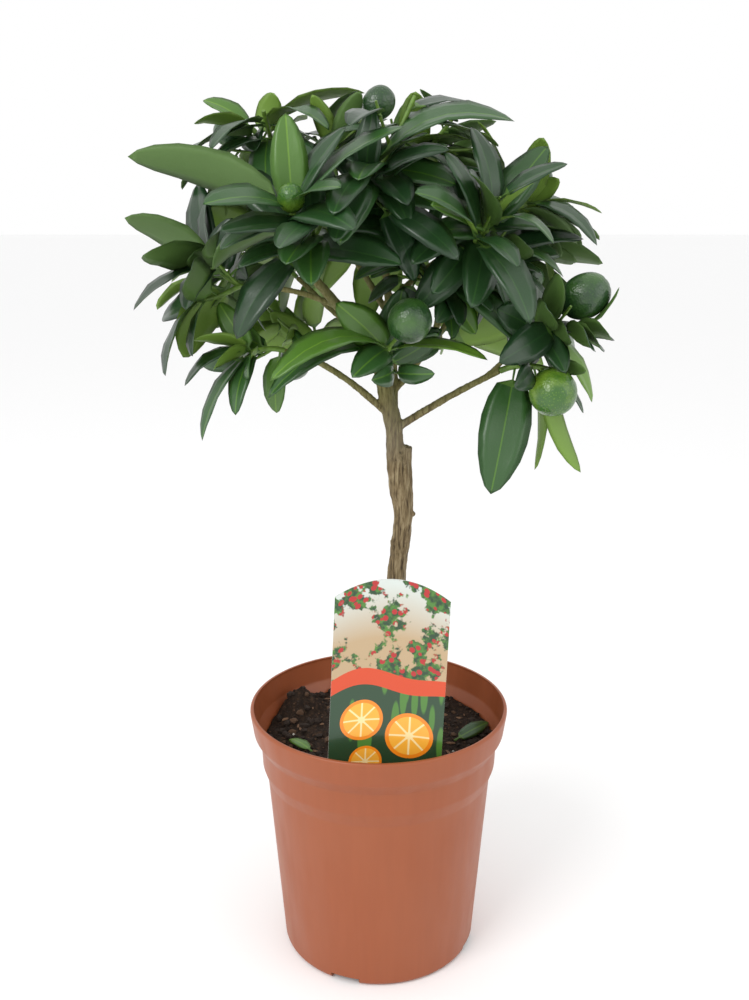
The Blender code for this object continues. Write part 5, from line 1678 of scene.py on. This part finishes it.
def wood_relief(place, on_trunk, settings):
    """How far the bark stands out: long furrows on the trunk, faint ones on the boughs."""
    stretched = Vector((place.x * STRIP_PACE, place.y * STRIP_PACE, place.z * STRIP_PACE_ALONG))
    strips = noise.noise(stretched) + STRIP_FINER_SHARE * noise.noise(stretched * STRIP_FINER)
    lumps = noise.noise(place * LUMP_PACE)
    if on_trunk:
        return settings.relief * (strips + TRUNK_LUMP_SHARE * lumps)
    return settings.relief * BOUGH_RELIEF_SHARE * (strips + lumps)


def make_wood(settings):
    """Trunk, stub, knob, spur and boughs, melted together and given the bark's relief."""
    limbs, _ = grown_crown()
    trunk = limbs["trunk"]
    stub = Limb([STUB_FOOT, STUB_TOP], [STUB_RADIUS, STUB_RADIUS * STUB_TAPER])
    spur = Limb([SPUR_FOOT, SPUR_TOP], [SPUR_RADIUS * SPUR_FLARE, SPUR_RADIUS * SPUR_TAPER])
    parts = [ring_tube(trunk, SMOOTH_TRUNK_SIDES, SMOOTH_STEPS)]
    parts.append(tube_mesh(stub, SMOOTH_TRUNK_SIDES))
    parts.append(tube_mesh(spur, SMOOTH_SPUR_SIDES))
    parts.append(ball_mesh(KNOB_PLACE, UP, KNOB_LENGTH, KNOB_WIDTH))
    for name in BOUGHS:
        parts.append(ring_tube(limbs[name], SMOOTH_BOUGH_SIDES, SMOOTH_STEPS))
    corners, faces, _ = joined([(*part, []) for part in parts])
    wood = add_mesh("trunk_and_boughs", corners, faces)
    melt = wood.modifiers.new("melt", "REMESH")
    melt.mode = "VOXEL"
    melt.voxel_size = settings.grain
    melt.use_smooth_shade = True
    soften = wood.modifiers.new("soften", "SMOOTH")
    soften.factor = SOFTENING
    soften.iterations = SOFTENING_ROUNDS
    apply_modifiers(wood)
    shape_bark(wood, trunk, settings)
    wood.data.materials.clear()
    for material in (bark_material(settings), green_bark_material(settings), cut_material(settings)):
        wood.data.materials.append(material)
    hand_in(wood, "bark", "trunk", *BOUGHS)


def cut_material(settings):
    """The pale sawn end of the stub."""
    nodes = Nodes("sawn_end", settings.cut_colour, 0.8)
    rings = nodes.noise(0.0008, (1, 1, 0.2), 3)
    nodes.colour(nodes.ramp(rings, (0.35, darker(settings.cut_colour, 0.45)), (0.65, settings.cut_colour)))
    nodes.bump(rings, 0.0002, 0.6)
    return nodes.material


def distance_to_limb(place, limb):
    return min((place - point).length - radius for point, radius in zip(limb.points, limb.radii))


def shape_bark(wood, trunk, settings):
    """Moves each corner by the bark's relief and deals out the bark, bough and cut materials."""
    line = smoothed_limb(trunk, TRUNK_LINE_STEPS)
    on_trunk = []
    moved = []
    for corner in wood.data.vertices:
        by_stub = (corner.co - STUB_TOP).length < NEAR_STUB and corner.co.z < STUB_TOP.z + ABOVE_STUB
        near = by_stub or distance_to_limb(corner.co, line) < NEAR_TRUNK
        on_trunk.append(near)
        moved.append(corner.co + corner.normal * wood_relief(corner.co, near, settings))
    for corner, place in zip(wood.data.vertices, moved):
        corner.co = place
    for face in wood.data.polygons:
        level = face.center.z > STUB_TOP.z - CUT_DEPTH and face.normal.z > CUT_UPWARD
        on_cut = level and (face.center - STUB_TOP).length < CUT_REACH
        face.material_index = 2 if on_cut else (0 if on_trunk[face.vertices[0]] else 1)
        face.use_smooth = True


def make_twigs(settings):
    """The stems, green twigs and fruit stalks of every mass, in one piece."""
    _, masses = grown_crown()
    parts = []
    for mass in masses:
        for shoot in mass.shoots:
            parts.append((*ring_tube(shoot, SMOOTH_TWIG_SIDES, SMOOTH_STEPS), []))
        for *_, stalk in mass.fruit:
            parts.append((*tube_mesh(stalk, SMOOTH_TWIG_SIDES), []))
    corners, faces, _ = joined(parts)
    twigs = add_mesh("twigs", corners, faces, None, (twig_material(settings),))
    shade(twigs, TWIG_SMOOTH)
    hand_in(twigs, "green_bark")


# Leaves


def fine_ring(leaf, share, settings, phase):
    """Nine corners round the leaf: left edge, over the top to the right edge, and back under."""
    place, side, normal = leaf.station(share)
    half = leaf.half_width(share)
    if share <= PETIOLE_SHARE:
        spokes = [math.pi - math.tau * number / RING_CORNERS for number in range(RING_CORNERS)]
        radius = PETIOLE_HALF_WIDTH * (PETIOLE_FLARE if share == 0 else PETIOLE_WAIST)
        return [place + side * math.cos(turn) * radius + normal * math.sin(turn) * radius for turn in spokes]
    rib = min(settings.rib, half * WIDEST_RIB)
    corners = []
    for number, spot in enumerate(RING_PLACES):
        across = spot * half
        if number in (LEFT_RIB, RIGHT_RIB):
            across = -rib if number == LEFT_RIB else rib
        out = abs(across) / half
        rise = half * out * math.sin(leaf.fold)
        rise -= settings.curl * half * out ** 3
        turn = phase + share * WAVE_PACE + (WAVE_SHIFT if across > 0 else 0)
        rise += settings.wave * half * out ** 2 * math.sin(turn)
        skin = settings.thickness / 2 * (1 - out ** 2)
        skin = -skin if number > RIGHT_EDGE else skin
        if number in (LEFT_RIB, RIGHT_RIB):
            skin *= RIB_SINK
        corners.append(place + side * across * math.cos(leaf.fold) + normal * (rise + skin))
    return corners


def fine_leaf(leaf, settings, seeded):
    """Corners and faces of one leaf; each ring of faces runs from the left edge over the top."""
    phase = seeded.uniform(0, math.tau)
    corners = []
    for share in LEAF_STATIONS:
        corners += fine_ring(leaf, share, settings, phase)
    corners.append(leaf.tip)
    faces = [tuple(reversed(range(RING_CORNERS)))]
    for ring in range(len(LEAF_STATIONS) - 1):
        low, high = ring * RING_CORNERS, (ring + 1) * RING_CORNERS
        for side in range(RING_CORNERS):
            after = (side + 1) % RING_CORNERS
            if side < RIGHT_EDGE:
                faces.append((low + side, low + after, high + after))
                faces.append((low + side, high + after, high + side))
            else:
                faces.append((low + side, low + after, high + side))
                faces.append((low + after, high + after, high + side))
    last = (len(LEAF_STATIONS) - 1) * RING_CORNERS
    for side in range(RING_CORNERS):
        faces.append((last + side, last + (side + 1) % RING_CORNERS, len(corners) - 1))
    return corners, faces


def leaf_slots(tint, underside):
    """The slots of a fine leaf's faces: green stalk, top by tint, rib one tint paler, underside."""
    slots = [RIB_SLOT]
    for ring in range(len(LEAF_STATIONS)):
        at_tip = ring == len(LEAF_STATIONS) - 1
        for side in range(RING_CORNERS):
            slot = tint if side < RIGHT_EDGE else underside
            if side == LEFT_RIB:
                slot = min(tint + 1, TINT_COUNT - 1)
            if ring < STALK_RINGS:
                slot = RIB_SLOT
            slots += [slot] if at_tip else [slot, slot]
    return slots


def leaf_materials(settings, name):
    """Five plain tints for the upper sides, two for the undersides and one for ribs and stalks."""
    tints = (settings.deep, settings.dark, settings.middle, settings.fresh, settings.bright)
    materials = [
        leaf_material(f"{name}_tint_{number}", tint, 0.32 + 0.02 * number, 0.12)
        for number, tint in enumerate(tints)
    ]
    materials.append(leaf_material(f"{name}_underside", settings.under, 0.55, 0.0))
    materials.append(leaf_material(f"{name}_underside_fresh", settings.under_fresh, 0.5, 0.0))
    materials.append(leaf_material(f"{name}_rib", settings.rib_colour, 0.45, 0.0))
    return materials


def make_leaves(settings):
    """All the crown's leaves in one piece, their plain tints dealt out by spray."""
    _, masses = grown_crown()
    parts = []
    for mass in masses:
        seeded = random.Random(mass.plan["seed"] + TINT_SEED_SHIFT)
        spray_tint = seeded.choice(SPRAY_TINTS)
        for number, leaf in enumerate(mass.leaves):
            tint = max(0, min(TINT_COUNT - 1, spray_tint + seeded.choice(TINT_STEPS)))
            if number < len(mass.plan["lead"]):
                tint = min(TINT_COUNT - 1, tint + seeded.choice(LEAD_TINT_STEPS))
            underside = FRESH_UNDERSIDE_SLOT if tint >= FRESH_FROM else UNDERSIDE_SLOT
            corners, faces = fine_leaf(leaf, settings, seeded)
            parts.append((corners, faces, leaf_slots(tint, underside)))
    corners, faces, slots = joined(parts)
    leaves = add_mesh("leaves", corners, faces, slots, leaf_materials(settings, "leaf"))
    shade(leaves)
    hand_in(leaves, "leaf", *MASSES)


# Fruit


def egg(centre, axis, length, width, seeded):
    """A fruit's rind: a fine egg with faint dents and a small scar at its far end."""
    shape = bmesh.new()
    bmesh.ops.create_uvsphere(shape, u_segments=FRUIT_SEGMENTS, v_segments=FRUIT_RINGS, radius=0.5)
    turn = axis.to_track_quat("Z", "Y").to_matrix().to_4x4() @ Matrix.Rotation(seeded.uniform(0, 6), 4, "Z")
    shift = Vector((seeded.uniform(0, 90), 0, 0))
    for corner in shape.verts:
        direction = corner.co.normalized()
        dent = 1 + sum(share * noise.noise(direction * pace + shift) for pace, share in FRUIT_DENTS)
        end = max(0.0, abs(direction.z) - END_FROM) / END_RUN
        corner.co *= dent * (1 - END_FLATNESS * end)
        if direction.z > SCAR_FROM:
            corner.co.z += SCAR_HEIGHT
    shape.transform(Matrix.Translation(centre) @ turn @ Matrix.Diagonal((width, width, length, 1)))
    corners = [corner.co.copy() for corner in shape.verts]
    faces = [tuple(corner.index for corner in face.verts) for face in shape.faces]
    shape.free()
    return corners, faces


def calyx(centre, axis, length, width):
    """The five-lobed green cap where the stalk meets the rind."""
    turn = axis.to_track_quat("Z", "Y").to_matrix().to_4x4()
    place = Matrix.Translation(centre) @ turn
    corners = []
    for lift, share in CAP_RINGS:
        for number in range(CAP_CORNERS):
            angle = math.tau * number / CAP_CORNERS
            lobe = 1 + CAP_LOBE_SHARE * share * math.cos(CAP_LOBES * angle)
            reach = width * CAP_WIDTH * share * lobe
            corners.append(
                place @ Vector((reach * math.cos(angle), reach * math.sin(angle), lift - length / 2))
            )
    last = (len(CAP_RINGS) - 1) * CAP_CORNERS
    faces = [tuple(reversed(range(CAP_CORNERS))), tuple(range(last, last + CAP_CORNERS))]
    for ring in range(0, last, CAP_CORNERS):
        for side in range(CAP_CORNERS):
            after = (side + 1) % CAP_CORNERS
            high = ring + CAP_CORNERS
            faces.append((ring + side, ring + after, high + after, high + side))
    return corners, faces


def make_fruit(settings):
    """All the fruit in one piece, each on its stalk with its cap."""
    _, masses = grown_crown()
    parts = []
    hanging = [(mass.name, *row[:4]) for mass in masses for row in mass.fruit]
    for number, (name, *shape) in enumerate(hanging):
        corners, faces = egg(*shape, random.Random(FRUIT_SEED + number))
        parts.append((corners, faces, [1 if name in BRIGHT_FRUIT else 0] * len(faces)))
        corners, faces = calyx(*shape)
        parts.append((corners, faces, [2] * len(faces)))
    corners, faces, slots = joined(parts)
    materials = (
        fruit_material("dark_rind", settings.dark, settings.dark_patch),
        fruit_material("bright_rind", settings.bright, settings.bright_patch),
        leaf_material("fruit_cap", darker(settings.dark_patch, 0.9), 0.6, 0.0),
    )
    fruit = add_mesh("fruit", corners, faces, slots, materials)
    shade(fruit, FRUIT_SMOOTH)
    hand_in(fruit, "leaf")


# Stage


def add_light(name, place, size, power):
    """A square soft light that points at the foot of the crown."""
    light = bpy.data.lights.new(name, "AREA")
    light.size = size
    light.energy = power
    thing = bpy.data.objects.new(name, light)
    bpy.context.scene.collection.objects.link(thing)
    thing.location = place
    direction = Vector(LIGHT_TARGET) - thing.location
    thing.rotation_euler = direction.to_track_quat("-Z", "Y").to_euler()


def make_stage(settings):
    """A wide pale floor, white surroundings, two soft lights and the photograph's viewpoint."""
    deselect_all()
    bpy.ops.mesh.primitive_plane_add(size=settings.floor_size, location=(0, 0, -FLOOR_DROP))
    floor = bpy.context.object
    floor.name = "floor"
    paper = Nodes("pale_floor", settings.floor_colour, 0.9, Specular_IOR_Level=0.1)
    paper.bump(paper.noise(0.01), 0.0001, 0.2)
    floor.data.materials.append(paper.material)
    world = bpy.data.worlds.new("surroundings")
    world.use_nodes = True
    sky = world.node_tree.nodes["Background"]
    sky.inputs["Color"].default_value = (1, 1, 1, 1)
    sky.inputs["Strength"].default_value = settings.world_strength
    bpy.context.scene.world = world
    bpy.context.scene.view_settings.view_transform = "Standard"
    add_light("key", KEY_PLACE, KEY_SIZE, settings.key_power)
    add_light("fill", FILL_PLACE, FILL_SIZE, settings.fill_power)
    make_camera()


def make_camera():
    """The photograph's own viewpoint, as fitted to the pot's rim and foot."""
    lens = bpy.data.cameras.new("camera")
    lens.sensor_width = SENSOR
    lens.lens = CAMERA_FOCAL_PIXELS * SENSOR / FRAME_HEIGHT_PIXELS
    lens.shift_x = CAMERA_SIDE_SHIFT / FRAME_HEIGHT_PIXELS
    camera = bpy.data.objects.new("camera", lens)
    bpy.context.scene.collection.objects.link(camera)
    camera.location = CAMERA_PLACE
    camera.rotation_euler = (CAMERA_TURN, 0, 0)
    bpy.context.scene.camera = camera


# Operators, panel and registration


class CITRUS_OT_stage(bpy.types.Operator):
    """Adds the floor, the lights and the camera"""

    bl_idname = "citrus.stage"
    bl_label = "Add the stage"

    def execute(self, context):
        make_stage(context.scene.citrus_stage)
        return {"FINISHED"}


class CITRUS_OT_pot(bpy.types.Operator):
    """Turns the pot and cuts its drainage notches"""

    bl_idname = "citrus.pot"
    bl_label = "Add the pot"

    def execute(self, context):
        make_pot(context.scene.citrus_pot)
        return {"FINISHED"}


class CITRUS_OT_soil(bpy.types.Operator):
    """Fills the pot with soil, and strews crumbs, chips and grains on it"""

    bl_idname = "citrus.soil"
    bl_label = "Add the soil"

    def execute(self, context):
        make_soil(context.scene.citrus_soil)
        make_crumbs(context.scene.citrus_soil)
        make_litter(context.scene.citrus_soil, context.scene.citrus_leaves)
        return {"FINISHED"}


class CITRUS_OT_label(bpy.types.Operator):
    """Bends, thickens and prints the picture label"""

    bl_idname = "citrus.label"
    bl_label = "Add the label"

    def execute(self, context):
        make_label(context.scene.citrus_label)
        return {"FINISHED"}


class CITRUS_OT_wood(bpy.types.Operator):
    """Adds the trunk and boughs with their bark, and the green twigs"""

    bl_idname = "citrus.wood"
    bl_label = "Add the wood"

    def execute(self, context):
        make_wood(context.scene.citrus_wood)
        make_twigs(context.scene.citrus_wood)
        return {"FINISHED"}


class CITRUS_OT_leaves(bpy.types.Operator):
    """Adds every leaf of the crown"""

    bl_idname = "citrus.leaves"
    bl_label = "Add the leaves"

    def execute(self, context):
        make_leaves(context.scene.citrus_leaves)
        return {"FINISHED"}


class CITRUS_OT_fruit(bpy.types.Operator):
    """Adds the unripe fruit with their caps"""

    bl_idname = "citrus.fruit"
    bl_label = "Add the fruit"

    def execute(self, context):
        make_fruit(context.scene.citrus_fruit)
        return {"FINISHED"}


OPERATORS = (
    CITRUS_OT_stage,
    CITRUS_OT_pot,
    CITRUS_OT_soil,
    CITRUS_OT_label,
    CITRUS_OT_wood,
    CITRUS_OT_leaves,
    CITRUS_OT_fruit,
)
SETTINGS = {
    "citrus_stage": StageSettings,
    "citrus_pot": PotSettings,
    "citrus_soil": SoilSettings,
    "citrus_label": LabelSettings,
    "citrus_wood": WoodSettings,
    "citrus_leaves": LeafSettings,
    "citrus_fruit": FruitSettings,
}


class CITRUS_PT_panel(bpy.types.Panel):
    """Lists the settings and the operators of the potted citrus tree"""

    bl_idname = "CITRUS_PT_panel"
    bl_label = "Potted citrus tree"
    bl_space_type = "VIEW_3D"
    bl_region_type = "UI"
    bl_category = "Potted citrus"

    def draw(self, context):
        for name, operator in zip(SETTINGS, OPERATORS):
            settings = getattr(context.scene, name)
            box = self.layout.box()
            for prop in settings.__annotations__:
                box.prop(settings, prop)
            box.operator(operator.bl_idname)


def register():
    for kind in (*SETTINGS.values(), *OPERATORS, CITRUS_PT_panel):
        bpy.utils.register_class(kind)
    for name, kind in SETTINGS.items():
        setattr(bpy.types.Scene, name, bpy.props.PointerProperty(type=kind))


def unregister():
    for name in SETTINGS:
        delattr(bpy.types.Scene, name)
    for kind in reversed((*SETTINGS.values(), *OPERATORS, CITRUS_PT_panel)):
        bpy.utils.unregister_class(kind)


def main():
    register()
    bpy.ops.citrus.stage()
    bpy.ops.citrus.pot()
    bpy.ops.citrus.soil()
    bpy.ops.citrus.label()
    bpy.ops.citrus.wood()
    bpy.ops.citrus.leaves()
    bpy.ops.citrus.fruit()


if __name__ == "__main__":
    main()
